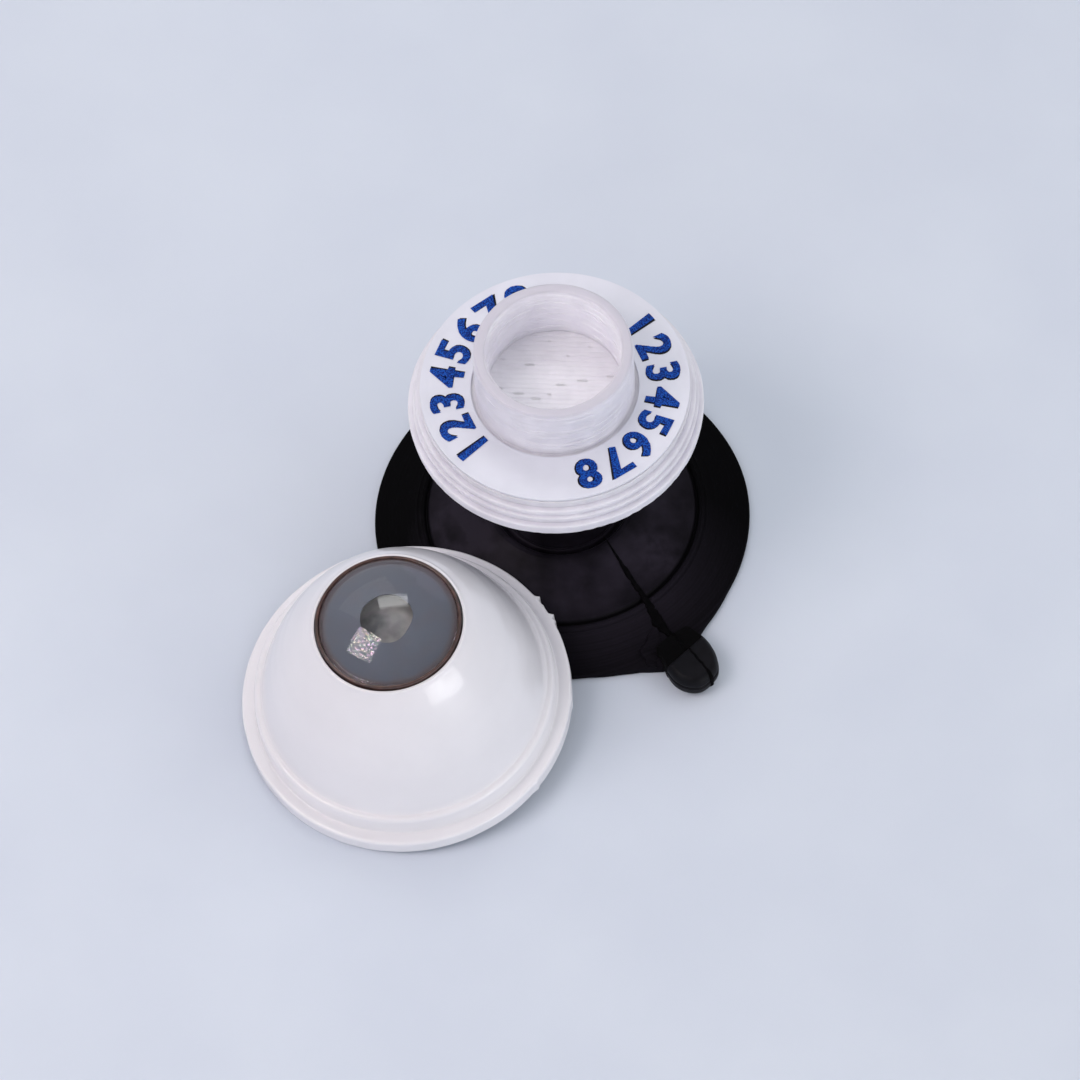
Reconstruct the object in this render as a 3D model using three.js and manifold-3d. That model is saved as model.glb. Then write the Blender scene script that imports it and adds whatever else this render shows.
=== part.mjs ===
// A practice eye model: a rubber suction cup carries a printed stand on its knob,
// and the eye shell that caps the stand lies taken off, leaning on the cup.
// Sizes are in millimetres, +Z is up and the table is at z = 0.

import * as THREE from 'three';
import { mergeVertices } from 'three/addons/utils/BufferGeometryUtils.js';
import Module from 'manifold-3d';

const wasm = await Module();
wasm.setup();

// Fits shared by all the pieces
const SEAT = 0.3;
const EYE_SEAT = 0.25;
const FACETS = 56;
const SMALL_FACETS = 40;
const CURVE_STEPS = 8;

// Suction cup
const SKIRT_RADIUS = 16;
const SKIRT_LIP = 0.5;
const SKIRT_FOOT_WIDTH = 0.8;
const GROOVE_RADIUS = 11.5;
const GROOVE_HEIGHT = 1.9;
const GROOVE_WALL = 0.6;
const HUB_RADIUS = 6.4;
const HUB_HEIGHT = 4;
const HUB_RIM_WIDTH = 0.5;
const RECESS_DEPTH = 1;
const BEAD_RADIUS = 5.1;
const BEAD_WIDTH = 0.5;
const BEAD_HEIGHT = 0.5;
const CROWN_CURVE = 1.25;
const CUP_ROOF = 1.1;
const NECK_RADIUS = 3.2;
const NECK_LENGTH = 8.9;
const KNOB_RADIUS = 4;
const KNOB_HEIGHT = 3.4;
const KNOB_CHAMFER = 0.8;

// Pull tab, moulded on the skirt's edge
const TAB_AZIMUTH = -57.3;
const TAB_ROOT_WIDTH = 3.6;
const TAB_ROOT_REACH = 1.2;
const TAB_ROOT_INSET = 0.6;
const TAB_ROOT_HEIGHT = 2;
const TAB_NECK_LENGTH = 0.5;
const TAB_NECK_WIDTH = 3.4;
const TAB_NECK_HEIGHT = 1.15;
const TAB_KNOB_RADIUS = 2.3;
const TAB_KNOB_LENGTH = 3.3;
const TAB_KNOB_HEIGHT = 2.3;
const TAB_KNOB_ROUND = 0.5;
const TAB_LIFT_OFF = 0.25;
const TAB_STEPS = 24;

// Post that grips the cup's knob under the stand
const POST_RADIUS = 5.8;
const POST_LIP = 1.1;
const POST_ROOF = 0.9;
const SPIGOT_RADIUS = 3;
const SPIGOT_LENGTH = 1.4;

// Printed stand: four steps and an open tube
const FLANGE_RADIUS = 12.4;
const FLANGE_THICKNESS = 1.15;
const STEP_RADIUS = 12;
const STEP_THICKNESS = 0.7;
const SHOULDER_RADIUS = 11.8;
const SHOULDER_THICKNESS = 0.7;
const DISC_RADIUS = 11.4;
const DISC_THICKNESS = 0.85;
const TUBE_RADIUS = 6.65;
const TUBE_WALL = 1;
const TUBE_HEIGHT = 5.75;
const TUBE_ROUND = 0.3;

// Paper label round the tube, clear of it by a gap and inside the disc's edge by a margin
const LABEL_GAP = 0.35;
const LABEL_MARGIN = 0.15;
const LABEL_THICKNESS = 0.2;

// Eye shell, formed from one sheet
const SHEET = 0.6;
const BRIM_RADIUS = 13.9;
const BRIM_HEIGHT = 1.5;
const BRIM_ROUND = 0.25;
const WALL_RADIUS = 12.75;
const WALL_HEIGHT = 1.85;
const WALL_DRAFT = 0.15;
const DOME_RADIUS = 12;
const DOME_BULGE = 0.66;
const RECESS_RADIUS = 6.35;
const RECESS_TOP = 15;
const LAND_DEPTH = 1;
const MOUTH_RADIUS = 4.9;

// Pieces in the shell's mouth
const RING_RADIUS = 6.07;
const RING_WALL = 0.35;
const RING_HEIGHT = 1.2;
const RING_CHAMFER = 0.12;
const STACK_RADIUS = 5.5;
const CORNEA_CURVE = 9;
const CORNEA_WALL = 0.5;
const CORNEA_EDGE = 0.2;
const IRIS_THICKNESS = 0.2;
const PUPIL_RADIUS = 2.15;
const PUPIL_OFFSET = 0.5;
const PUPIL_AZIMUTH = -150;
const LENS_CUP_WALL = 0.35;
const LENS_CUP_FLANGE = 0.2;
const LENS_CUP_FLOOR = 0.4;
const LENS_THICKNESS = 3.4;
const LENS_EDGE = 0.4;

// Where the shell lies: its axis from the cup's axis, along this direction
const SHELL_DISTANCE = 22.7;
const SHELL_AZIMUTH = -127.6;
const LEAN_ROUNDS = 30;

// Heights that follow from the sizes above
const hubFloor = HUB_HEIGHT - RECESS_DEPTH;
const knobBase = HUB_HEIGHT + NECK_LENGTH;
const knobTop = knobBase + KNOB_HEIGHT;
const postTop = knobTop + SEAT + POST_ROOF;
const stepBase = postTop + FLANGE_THICKNESS;
const shoulderBase = stepBase + STEP_THICKNESS;
const discBase = shoulderBase + SHOULDER_THICKNESS;
const deck = discBase + DISC_THICKNESS;
const tubeTop = deck + TUBE_HEIGHT;
const domeFoot = BRIM_HEIGHT + WALL_HEIGHT;
const land = RECESS_TOP - LAND_DEPTH;
const lensFlangeBase = land + EYE_SEAT;
const irisBase = lensFlangeBase + LENS_CUP_FLANGE + EYE_SEAT;
const corneaBase = irisBase + IRIS_THICKNESS + EYE_SEAT;

const degrees = THREE.MathUtils.degToRad;

// A closed body with only positions, its shared vertices merged and flat triangles left out
function closed(geometry) {
  geometry.deleteAttribute('normal');
  geometry.deleteAttribute('uv');
  const merged = mergeVertices(geometry, 1e-4);
  const corners = merged.index.array;
  const kept = [];
  for (let i = 0; i < corners.length; i += 3) {
    const [a, b, c] = corners.slice(i, i + 3);
    if (a !== b && b !== c && c !== a) kept.push(a, b, c);
  }
  merged.setIndex(kept);
  return merged;
}

// A body of revolution about Z. Its section runs up the outside and down the inside;
// it starts and ends on the axis, or it is a ring's section and closes on itself.
function turned(section, facets = FACETS) {
  const points = section.map(([radius, height]) => new THREE.Vector2(radius, height));
  if (section[0][0] > 0) points.push(points[0].clone());
  return closed(new THREE.LatheGeometry(points, facets).rotateX(Math.PI / 2));
}

// Points of an arc in a section, about a centre on radius and height, angles in degrees
function arc(centre, radius, from, to, steps = CURVE_STEPS) {
  return Array.from({ length: steps + 1 }, (_, i) => {
    const angle = degrees(from + ((to - from) * i) / steps);
    return [centre[0] + radius * Math.cos(angle), centre[1] + radius * Math.sin(angle)];
  });
}

function toManifold(geometry) {
  return new wasm.Manifold(new wasm.Mesh({
    numProp: 3,
    vertProperties: new Float32Array(geometry.attributes.position.array),
    triVerts: new Uint32Array(geometry.index.array),
  }));
}

// Two closed bodies that overlap, joined into one
function joined(first, second) {
  const mesh = toManifold(first).add(toManifold(second)).getMesh();
  const geometry = new THREE.BufferGeometry();
  geometry.setAttribute('position', new THREE.BufferAttribute(mesh.vertProperties, 3));
  geometry.setIndex(new THREE.BufferAttribute(mesh.triVerts, 1));
  return geometry;
}

// A plate with a rounded edge, cut from a flat outline and standing on z = 0
function plate(outline, height, round = 0) {
  return closed(new THREE.ExtrudeGeometry(outline, {
    depth: height - 2 * round,
    bevelEnabled: round > 0,
    bevelThickness: round,
    bevelSize: round,
    bevelOffset: -round,
    bevelSegments: 2,
    steps: 1,
    curveSegments: TAB_STEPS / 2,
  }).translate(0, 0, round));
}

function rectangle(width, depth, x) {
  const outline = new THREE.Shape();
  outline.moveTo(x, -depth / 2);
  outline.lineTo(x + width, -depth / 2);
  outline.lineTo(x + width, depth / 2);
  outline.lineTo(x, depth / 2);
  return outline;
}

// Height of the crown's top between the groove and the hub
function crownTop(radius) {
  const share = (GROOVE_RADIUS - radius) / (GROOVE_RADIUS - HUB_RADIUS);
  return GROOVE_HEIGHT + (HUB_HEIGHT - GROOVE_HEIGHT) * share ** CROWN_CURVE;
}

// Height of the skirt's top, which falls evenly from the groove to the lip
function skirtTop(radius) {
  const share = (SKIRT_RADIUS - radius) / (SKIRT_RADIUS - GROOVE_RADIUS);
  return SKIRT_LIP + (GROOVE_HEIGHT - SKIRT_LIP) * share;
}

// Height of the rubber under the shell's raised edge
function cupTop(radius) {
  if (radius >= SKIRT_RADIUS) return 0;
  if (radius >= GROOVE_RADIUS) return skirtTop(radius);
  return crownTop(Math.max(radius, HUB_RADIUS));
}

// The skirt is the thin outer ring of the cup, with the block that roots the pull tab
function skirt() {
  const inner = GROOVE_RADIUS + SEAT / 2;
  const ring = turned([
    [SKIRT_RADIUS - SKIRT_FOOT_WIDTH, 0],
    [SKIRT_RADIUS, 0],
    [SKIRT_RADIUS, SKIRT_LIP],
    [inner, skirtTop(inner)],
    [inner, skirtTop(inner) - GROOVE_WALL],
  ]);
  const reach = TAB_ROOT_INSET + TAB_ROOT_REACH;
  const block = plate(rectangle(reach, TAB_ROOT_WIDTH, SKIRT_RADIUS - TAB_ROOT_INSET),
    TAB_ROOT_HEIGHT - TAB_LIFT_OFF);
  block.translate(0, 0, TAB_LIFT_OFF).rotateZ(degrees(TAB_AZIMUTH));
  return joined(ring, block);
}

// The crown is the cup's stiff middle: hub, recess, bead, neck and knob
function crown() {
  const edge = GROOVE_RADIUS - SEAT / 2;
  const slope = Array.from({ length: CURVE_STEPS }, (_, i) => {
    const radius = edge + ((HUB_RADIUS - edge) * i) / (CURVE_STEPS - 1);
    return [radius, crownTop(radius)];
  });
  const recess = HUB_RADIUS - HUB_RIM_WIDTH;
  return turned([
    [0, HUB_HEIGHT - RECESS_DEPTH - CUP_ROOF],
    [HUB_RADIUS, HUB_HEIGHT - RECESS_DEPTH - CUP_ROOF],
    [edge, crownTop(edge) - GROOVE_WALL],
    ...slope,
    [recess, HUB_HEIGHT],
    [recess, hubFloor],
    [BEAD_RADIUS + BEAD_WIDTH / 2, hubFloor],
    [BEAD_RADIUS, hubFloor + BEAD_HEIGHT],
    [BEAD_RADIUS - BEAD_WIDTH / 2, hubFloor],
    [NECK_RADIUS, hubFloor],
    [NECK_RADIUS, knobBase],
    [KNOB_RADIUS, knobBase],
    [KNOB_RADIUS, knobTop - KNOB_CHAMFER],
    [KNOB_RADIUS - KNOB_CHAMFER, knobTop],
    [0, knobTop],
  ]);
}

// The pull tab: a short neck and a round-ended knob that a fingernail lifts
function pullTab() {
  const start = SKIRT_RADIUS + TAB_ROOT_REACH + SEAT;
  const knobStart = start + TAB_NECK_LENGTH;
  const centre = knobStart + TAB_KNOB_LENGTH - TAB_KNOB_RADIUS;
  const thumb = new THREE.Shape();
  thumb.moveTo(knobStart, -TAB_KNOB_RADIUS);
  thumb.lineTo(centre, -TAB_KNOB_RADIUS);
  thumb.absarc(centre, 0, TAB_KNOB_RADIUS, -Math.PI / 2, Math.PI / 2);
  thumb.lineTo(knobStart, TAB_KNOB_RADIUS);
  const knob = plate(thumb, TAB_KNOB_HEIGHT, TAB_KNOB_ROUND);
  const neck = plate(rectangle(centre - start, TAB_NECK_WIDTH, start), TAB_NECK_HEIGHT);
  neck.translate(0, 0, (TAB_KNOB_HEIGHT - TAB_NECK_HEIGHT) / 2);
  return joined(knob, neck).translate(0, 0, TAB_LIFT_OFF);
}

// The post: a sleeve that snaps over the cup's knob, with a spigot into the stand
function standPost() {
  const lipTop = knobBase - SEAT;
  const mouth = NECK_RADIUS + SEAT;
  const bore = KNOB_RADIUS + SEAT;
  return turned([
    [mouth, lipTop - POST_LIP],
    [POST_RADIUS, lipTop - POST_LIP],
    [POST_RADIUS, postTop],
    [SPIGOT_RADIUS, postTop],
    [SPIGOT_RADIUS, postTop + SPIGOT_LENGTH],
    [0, postTop + SPIGOT_LENGTH],
    [0, knobTop + SEAT],
    [bore, knobTop + SEAT],
    [bore, lipTop],
    [mouth, lipTop],
  ], SMALL_FACETS);
}

// The stand is one print: flange, step, shoulder and disc, and the tube with its floor at the deck
function cupStand() {
  const bore = TUBE_RADIUS - TUBE_WALL;
  const socket = SPIGOT_RADIUS + SEAT;
  const rim = tubeTop - TUBE_ROUND;
  return turned([
    [0, postTop + SPIGOT_LENGTH + SEAT],
    [socket, postTop + SPIGOT_LENGTH + SEAT],
    [socket, postTop],
    [FLANGE_RADIUS, postTop],
    [FLANGE_RADIUS, stepBase],
    [STEP_RADIUS, stepBase],
    [STEP_RADIUS, shoulderBase],
    [SHOULDER_RADIUS, shoulderBase],
    [SHOULDER_RADIUS, discBase],
    [DISC_RADIUS, discBase],
    [DISC_RADIUS, deck],
    [TUBE_RADIUS, deck],
    ...arc([TUBE_RADIUS - TUBE_ROUND, rim], TUBE_ROUND, 0, 90, 3),
    ...arc([bore + TUBE_ROUND, rim], TUBE_ROUND, 90, 180, 3),
    [bore, deck],
    [0, deck],
  ]);
}

// The label is a flat paper ring stuck on the deck
function labelRing() {
  const inner = TUBE_RADIUS + LABEL_GAP;
  const outer = DISC_RADIUS - LABEL_MARGIN;
  return turned([
    [inner, deck],
    [outer, deck],
    [outer, deck + LABEL_THICKNESS],
    [inner, deck + LABEL_THICKNESS],
  ]);
}

// Points up the dome's outside: a straight line from foot to recess, bulged by a parabola
function domeLine(inset) {
  const run = RECESS_RADIUS - DOME_RADIUS;
  const rise = RECESS_TOP - domeFoot;
  const length = Math.hypot(run, rise);
  return Array.from({ length: CURVE_STEPS + 1 }, (_, i) => {
    const share = i / CURVE_STEPS;
    const out = 4 * DOME_BULGE * share * (1 - share) - inset;
    return [
      DOME_RADIUS + run * share + (out * rise) / length,
      domeFoot + rise * share - (out * run) / length,
    ];
  });
}

// The eye shell: brim, ledge, wall, foot ledge and dome, with a recessed land round its mouth
function eyeShell() {
  const under = land - SHEET;
  const innerDome = domeLine(SHEET).filter(([, height]) => height > domeFoot - SHEET && height < under);
  const last = innerDome[innerDome.length - 1];
  const wallTop = WALL_RADIUS - WALL_DRAFT;
  return turned([
    [BRIM_RADIUS - SHEET, 0],
    [BRIM_RADIUS, 0],
    [BRIM_RADIUS, BRIM_HEIGHT - BRIM_ROUND],
    [BRIM_RADIUS - BRIM_ROUND, BRIM_HEIGHT],
    [WALL_RADIUS, BRIM_HEIGHT],
    [wallTop, domeFoot],
    ...domeLine(0),
    [RECESS_RADIUS, land],
    [MOUTH_RADIUS, land],
    [MOUTH_RADIUS, under],
    [last[0] - SHEET / 2, under],
    ...innerDome.reverse(),
    [wallTop - SHEET, domeFoot - SHEET],
    [WALL_RADIUS - SHEET, BRIM_HEIGHT - SHEET],
    [BRIM_RADIUS - SHEET, BRIM_HEIGHT - SHEET],
  ]);
}

// The brown ring that frames the cornea and clamps the stack on the land
function limbusRing() {
  const inner = RING_RADIUS - RING_WALL;
  const base = land + EYE_SEAT;
  const top = base + RING_HEIGHT;
  return turned([
    [inner, base],
    [RING_RADIUS, base],
    [RING_RADIUS, top - RING_CHAMFER],
    [RING_RADIUS - RING_CHAMFER, top],
    [inner, top],
  ]);
}

// The clear cornea: an edge and a dome of even thickness about one centre
function cornea() {
  const outer = RING_RADIUS - RING_WALL - EYE_SEAT;
  const edgeTop = corneaBase + CORNEA_EDGE;
  const centre = edgeTop - Math.sqrt(CORNEA_CURVE ** 2 - outer ** 2);
  const innerCurve = CORNEA_CURVE - CORNEA_WALL;
  const outerFrom = THREE.MathUtils.radToDeg(Math.asin((edgeTop - centre) / CORNEA_CURVE));
  const innerFrom = THREE.MathUtils.radToDeg(Math.asin((corneaBase - centre) / innerCurve));
  return turned([
    ...arc([0, centre], innerCurve, 90, innerFrom),
    [outer, corneaBase],
    ...arc([0, centre], CORNEA_CURVE, outerFrom, 90),
  ].map(([radius, height], i, all) => [i === 0 || i === all.length - 1 ? 0 : radius, height]));
}

// The iris: a thin grey disc with a pupil set off its centre
function iris() {
  const outline = new THREE.Shape();
  outline.absarc(0, 0, STACK_RADIUS, 0, 2 * Math.PI);
  const pupil = new THREE.Path();
  const angle = degrees(PUPIL_AZIMUTH);
  pupil.absarc(PUPIL_OFFSET * Math.cos(angle), PUPIL_OFFSET * Math.sin(angle),
    PUPIL_RADIUS, 0, 2 * Math.PI, true);
  outline.holes.push(pupil);
  return plate(outline, IRIS_THICKNESS).translate(0, 0, irisBase);
}

// The lens cup hangs in the mouth by its flange
function lensCup() {
  const outer = MOUTH_RADIUS - EYE_SEAT;
  const inner = outer - LENS_CUP_WALL;
  const top = lensFlangeBase + LENS_CUP_FLANGE;
  const floor = top - LENS_THICKNESS - 2 * EYE_SEAT;
  return turned([
    [0, floor - LENS_CUP_FLOOR],
    [outer, floor - LENS_CUP_FLOOR],
    [outer, lensFlangeBase],
    [STACK_RADIUS, lensFlangeBase],
    [STACK_RADIUS, top],
    [inner, top],
    [inner, floor],
    [0, floor],
  ], SMALL_FACETS);
}

// The lens: two shallow caps on a thin edge
function lens() {
  const radius = MOUTH_RADIUS - 2 * EYE_SEAT - LENS_CUP_WALL;
  const cap = (LENS_THICKNESS - LENS_EDGE) / 2;
  const curve = (radius ** 2 + cap ** 2) / (2 * cap);
  const middle = lensFlangeBase + LENS_CUP_FLANGE - EYE_SEAT - LENS_THICKNESS / 2;
  const side = (up) => Array.from({ length: CURVE_STEPS }, (_, i) => {
    const r = (radius * i) / (CURVE_STEPS - 1);
    const height = Math.sqrt(curve ** 2 - r ** 2) - (curve - cap) + LENS_EDGE / 2;
    return [r, middle + up * height];
  });
  return turned([...side(-1), ...side(1).reverse()], SMALL_FACETS);
}

// Materials
const finish = (color, roughness, extra = {}) => (
  new THREE.MeshStandardMaterial({ color, roughness, metalness: 0, ...extra })
);
const blackRubber = finish(0x121214, 0.55);
const printedWhite = finish(0xe6e5ea, 0.6);
const labelPaper = finish(0xf0f0f4, 0.45);
const glossWhite = finish(0xe2e1e8, 0.2);
const brownRim = finish(0x4a332c, 0.35);
const clearPlastic = finish(0xf4f6f8, 0.05, { transparent: true, opacity: 0.3 });
const greyIris = finish(0x6e757f, 0.5);
const lensAmber = finish(0xa8a496, 0.3);
const cupWhite = finish(0xd8d7da, 0.45);

function piece(name, geometry, material) {
  const mesh = new THREE.Mesh(geometry, material);
  mesh.name = name;
  return mesh;
}

// The cup and the stand share one upright axis
const base = new THREE.Group();
base.add(
  piece('suction_skirt', skirt(), blackRubber),
  piece('suction_crown', crown(), blackRubber),
  piece('stand_post', standPost(), printedWhite),
  piece('tube_stand', cupStand(), printedWhite),
  piece('label_ring', labelRing(), labelPaper),
);

const tabArm = new THREE.Group();
tabArm.rotation.z = degrees(TAB_AZIMUTH);
tabArm.add(piece('pull_tab', pullTab(), blackRubber));

// The shell leans: one edge of its brim is on the table, the other on the cup
let lean = 0;
for (let round = 0; round < LEAN_ROUNDS; round += 1) {
  const raised = cupTop(SHELL_DISTANCE - BRIM_RADIUS * Math.cos(lean)) + SEAT;
  lean = Math.asin(raised / (2 * BRIM_RADIUS));
}
const eye = new THREE.Group();
eye.position.set(SHELL_DISTANCE, 0, BRIM_RADIUS * Math.sin(lean));
eye.rotation.y = lean;
eye.add(
  piece('eye_shell', eyeShell(), glossWhite),
  piece('limbus_ring', limbusRing(), brownRim),
  piece('cornea', cornea(), clearPlastic),
  piece('iris', iris(), greyIris),
  piece('lens', lens(), lensAmber),
  piece('lens_cup', lensCup(), cupWhite),
);
const eyePlace = new THREE.Group();
eyePlace.rotation.z = degrees(SHELL_AZIMUTH);
eyePlace.add(eye);

// The origin is the middle of the whole object's footprint, on the table
const model = new THREE.Group();
model.add(base, tabArm, eyePlace);
const middle = new THREE.Box3().setFromObject(model, true).getCenter(new THREE.Vector3());
model.position.set(-middle.x, -middle.y, 0);

export default model;
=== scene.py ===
# %% [markdown]
# # A practice eye on its suction cup
#
# The object is an eye model for surgical practice. A black rubber suction cup carries a white printed
# stand on its knob. The glossy eye shell that caps the stand lies beside it, leaning on the cup.
#
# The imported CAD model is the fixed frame. It says where each piece goes and how it moves, and this
# lesson dresses it: every visible piece is worked out again with numpy as a finer surface, and gets a
# finish made of shader nodes.

# %% Load the fixed frame
import math

import bpy
import numpy as np
from mathutils import Matrix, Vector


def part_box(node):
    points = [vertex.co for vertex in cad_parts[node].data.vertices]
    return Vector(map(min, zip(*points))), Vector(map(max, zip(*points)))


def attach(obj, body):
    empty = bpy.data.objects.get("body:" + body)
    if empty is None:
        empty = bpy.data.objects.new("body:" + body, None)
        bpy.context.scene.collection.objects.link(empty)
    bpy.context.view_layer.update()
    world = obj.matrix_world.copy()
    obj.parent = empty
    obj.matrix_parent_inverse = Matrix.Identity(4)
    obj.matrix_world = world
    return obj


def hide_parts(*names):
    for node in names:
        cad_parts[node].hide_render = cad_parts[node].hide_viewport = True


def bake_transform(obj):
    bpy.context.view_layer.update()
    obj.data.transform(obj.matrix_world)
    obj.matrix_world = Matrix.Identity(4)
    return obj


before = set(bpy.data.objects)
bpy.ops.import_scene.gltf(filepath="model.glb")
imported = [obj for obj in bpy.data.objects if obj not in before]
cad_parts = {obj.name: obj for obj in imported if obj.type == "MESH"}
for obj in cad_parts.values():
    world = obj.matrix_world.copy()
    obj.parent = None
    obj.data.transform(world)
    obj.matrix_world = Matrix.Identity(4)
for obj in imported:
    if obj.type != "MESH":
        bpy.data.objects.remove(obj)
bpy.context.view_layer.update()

MM = 0.001

# %% [markdown]
# ## Two places to build in
#
# The cup and the stand are turned about one upright axis, so they are built about it and then moved
# there. The eye shell leans, so its pieces are built upright at the origin and then turned into
# place. Both places are read from the frame: the middle of a turned node's box lies on its axis, and
# the flat iris faces along the eye's axis.

# %% The cup's axis and the eye's own frame
LENS_MIDDLE_HEIGHT = 12.5


def mesh_points(mesh):
    """All the points of a mesh as one array."""
    flat = np.empty(len(mesh.vertices) * 3, np.float32)
    mesh.vertices.foreach_get("co", flat)
    return flat.reshape(-1, 3).astype(float)


def box_middle(node):
    """The middle of a CAD node's box, in millimetres."""
    low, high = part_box(node)
    return (np.array(low) + np.array(high)) / 2 / MM


cup_base = box_middle("suction_crown") * (1, 1, 0)
iris_points = mesh_points(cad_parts["iris"].data) / MM
eye_axis = np.linalg.svd(iris_points - iris_points.mean(axis=0), full_matrices=False)[2][-1]
eye_axis = eye_axis * np.sign(eye_axis[2])
eye_side = np.cross((0, 0, 1), eye_axis)
eye_side = eye_side / np.linalg.norm(eye_side)
eye_turn = np.stack([np.cross(eye_side, eye_axis), eye_side, eye_axis])
eye_base = box_middle("lens") - LENS_MIDDLE_HEIGHT * eye_axis
eye_lean = math.degrees(math.acos(eye_axis[2]))
print("cup axis at", cup_base.round(3), "eye base at", eye_base.round(3), "lean", round(eye_lean, 2))


def on_cup(points):
    """Points built about the upright axis, moved to the cup's axis."""
    return points + cup_base


def on_eye(points):
    """Points built in the eye's own frame, turned and moved to where the eye shell lies."""
    return points @ eye_turn + eye_base


# %% [markdown]
# ## One way to make a surface
#
# Each surface is a grid of points: rows run along a section and columns run round it. A row whose
# points all coincide is a pole. The helper joins the grid into quads, closes it round, and leaves out
# the points that a pole repeats, so that the mesh is one closed skin whose faces point outwards.

# %% From a grid of points to a mesh
SHARP_ANGLE = math.radians(38)


def skin(name, grid, place, material, columns_close=True, rows_close=False):
    """A mesh object from grid[row, column] = point in millimetres.

    Quad (i, j) joins points (i, j), (i, j+1), (i+1, j+1) and (i+1, j). With the rows running up the
    outside and the columns running anticlockwise, the faces point outwards.
    """
    rows, columns = grid.shape[:2]
    index = np.arange(rows * columns).reshape(rows, columns)
    poles = np.ptp(grid, axis=1).max(axis=1) < 1e-7
    index[poles] = index[poles][:, :1]
    if columns_close:
        index = np.hstack([index, index[:, :1]])
    if rows_close:
        index = np.vstack([index, index[:1]])
    corners = np.stack([index[:-1, :-1], index[:-1, 1:], index[1:, 1:], index[1:, :-1]], axis=-1)
    corners = corners.reshape(-1, 4)
    lower_pole = corners[:, 0] == corners[:, 1]
    upper_pole = corners[:, 2] == corners[:, 3]
    quads = corners[~(lower_pole | upper_pole)]
    fans = np.vstack([corners[lower_pole & ~upper_pole][:, 1:], corners[upper_pole & ~lower_pole][:, :3]])
    used, flat = np.unique(np.concatenate([quads.ravel(), fans.ravel()]), return_inverse=True)
    points = place(grid.reshape(-1, 3)[used]) * MM
    faces = flat[: quads.size].reshape(-1, 4).tolist() + flat[quads.size :].reshape(-1, 3).tolist()
    mesh = bpy.data.meshes.new(name)
    mesh.from_pydata(points.tolist(), [], faces)
    mesh.polygons.foreach_set("use_smooth", np.ones(len(faces), bool))
    mesh.set_sharp_from_angle(angle=SHARP_ANGLE)
    mesh.materials.append(material)
    mesh.update()
    thing = bpy.data.objects.new(name, mesh)
    bpy.context.scene.collection.objects.link(thing)
    print(name, len(points), "points", len(quads) * 2 + len(fans), "triangles")
    return thing


print("faces meet sharply past", round(math.degrees(SHARP_ANGLE)), "degrees")

# %% [markdown]
# ## Sections
#
# A turned thing starts as a section, a line of radius and height. No real edge is quite sharp, so each
# corner of a section becomes a small curve. A bevel modifier could do that too, but a curve with a
# formula keeps the number of points known, and points can be added where detail is to come.


# %% Round a section and turn it
def rounded(corners, steps=5):
    """The points of a section whose corners (radius, height, rounding) are replaced by curves.

    A corner P with rounding f becomes (1-t)^2 S + 2t(1-t) P + t^2 E for t from 0 to 1, where S and E
    lie f from P towards the corner before and the corner after.
    """
    corners = np.array(corners, float)
    points, cut = corners[:, :2], corners[:, 2:]
    back = np.roll(points, 1, axis=0) - points
    ahead = np.roll(points, -1, axis=0) - points
    start = points + back / np.linalg.norm(back, axis=1, keepdims=True) * cut
    end = points + ahead / np.linalg.norm(ahead, axis=1, keepdims=True) * cut
    t = np.linspace(0, 1, steps)[None, :, None]
    curves = (1 - t) ** 2 * start[:, None] + 2 * t * (1 - t) * points[:, None] + t**2 * end[:, None]
    line = curves.reshape(-1, 2)
    moved = np.linalg.norm(np.diff(line, axis=0), axis=1) > 1e-6
    return line[np.concatenate([[True], moved])]


def with_steps(line, spacing):
    """The same section with points added along its straight runs, at most spacing apart."""
    run = np.concatenate([[0], np.cumsum(np.linalg.norm(np.diff(line, axis=0), axis=1))])
    every = np.union1d(run, np.arange(0, run[-1], spacing))
    return np.stack([np.interp(every, run, line[:, 0]), np.interp(every, run, line[:, 1])], axis=1)


def turned(radius, height, angle):
    """A grid of points from radius, height and angle, each an array that spans rows and columns."""
    radius, height, angle = np.broadcast_arrays(radius, height, angle)
    return np.stack([radius * np.cos(angle), radius * np.sin(angle), height], axis=-1)


def angles(columns):
    """The columns' angles, once round, as one row."""
    return np.linspace(0, 2 * math.pi, columns, endpoint=False)[None, :]


print("section helpers ready")

# %% [markdown]
# ## Small unevenness
#
# Moulded, printed and formed things are never perfect. Two seeded random functions give smooth
# unevenness: one along a line, and one round an axis that meets itself. Everything is seeded, so each
# run gives the same shapes.


# %% Seeded unevenness
def wander(at, spacing, seed):
    """Smooth random heights from about -1 to 1 along a line: random values every spacing, joined."""
    at = np.asarray(at, float)
    low = at.min() - spacing
    knots = np.arange(low, at.max() + 2 * spacing, spacing)
    values = np.random.default_rng(seed).uniform(-1, 1, len(knots))
    return np.interp(at, knots, values)


def round_wander(angle, waves, seed):
    """Smooth random heights round an axis: a sum of sines of 1 to waves turns, with random phases."""
    source = np.random.default_rng(seed)
    turns = np.arange(1, waves + 1)[:, None]
    phases = source.uniform(0, 2 * math.pi, (waves, 1))
    sizes = source.uniform(0.3, 1, (waves, 1)) / math.sqrt(waves)
    flat = np.asarray(angle, float).reshape(1, -1)
    return (np.sin(turns * flat + phases) * sizes).sum(axis=0).reshape(np.shape(angle))


def bump(at, middle, width):
    """A bell of height 1: exp of minus the square of the distance over the width."""
    return np.exp(-(((at - middle) / width) ** 2))


def smooth_step(at, start, end):
    """0 before start, 1 after end, and 3t^2 - 2t^3 between them."""
    t = np.clip((at - start) / (end - start), 0, 1)
    return t * t * (3 - 2 * t)


print("unevenness helpers ready")

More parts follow.
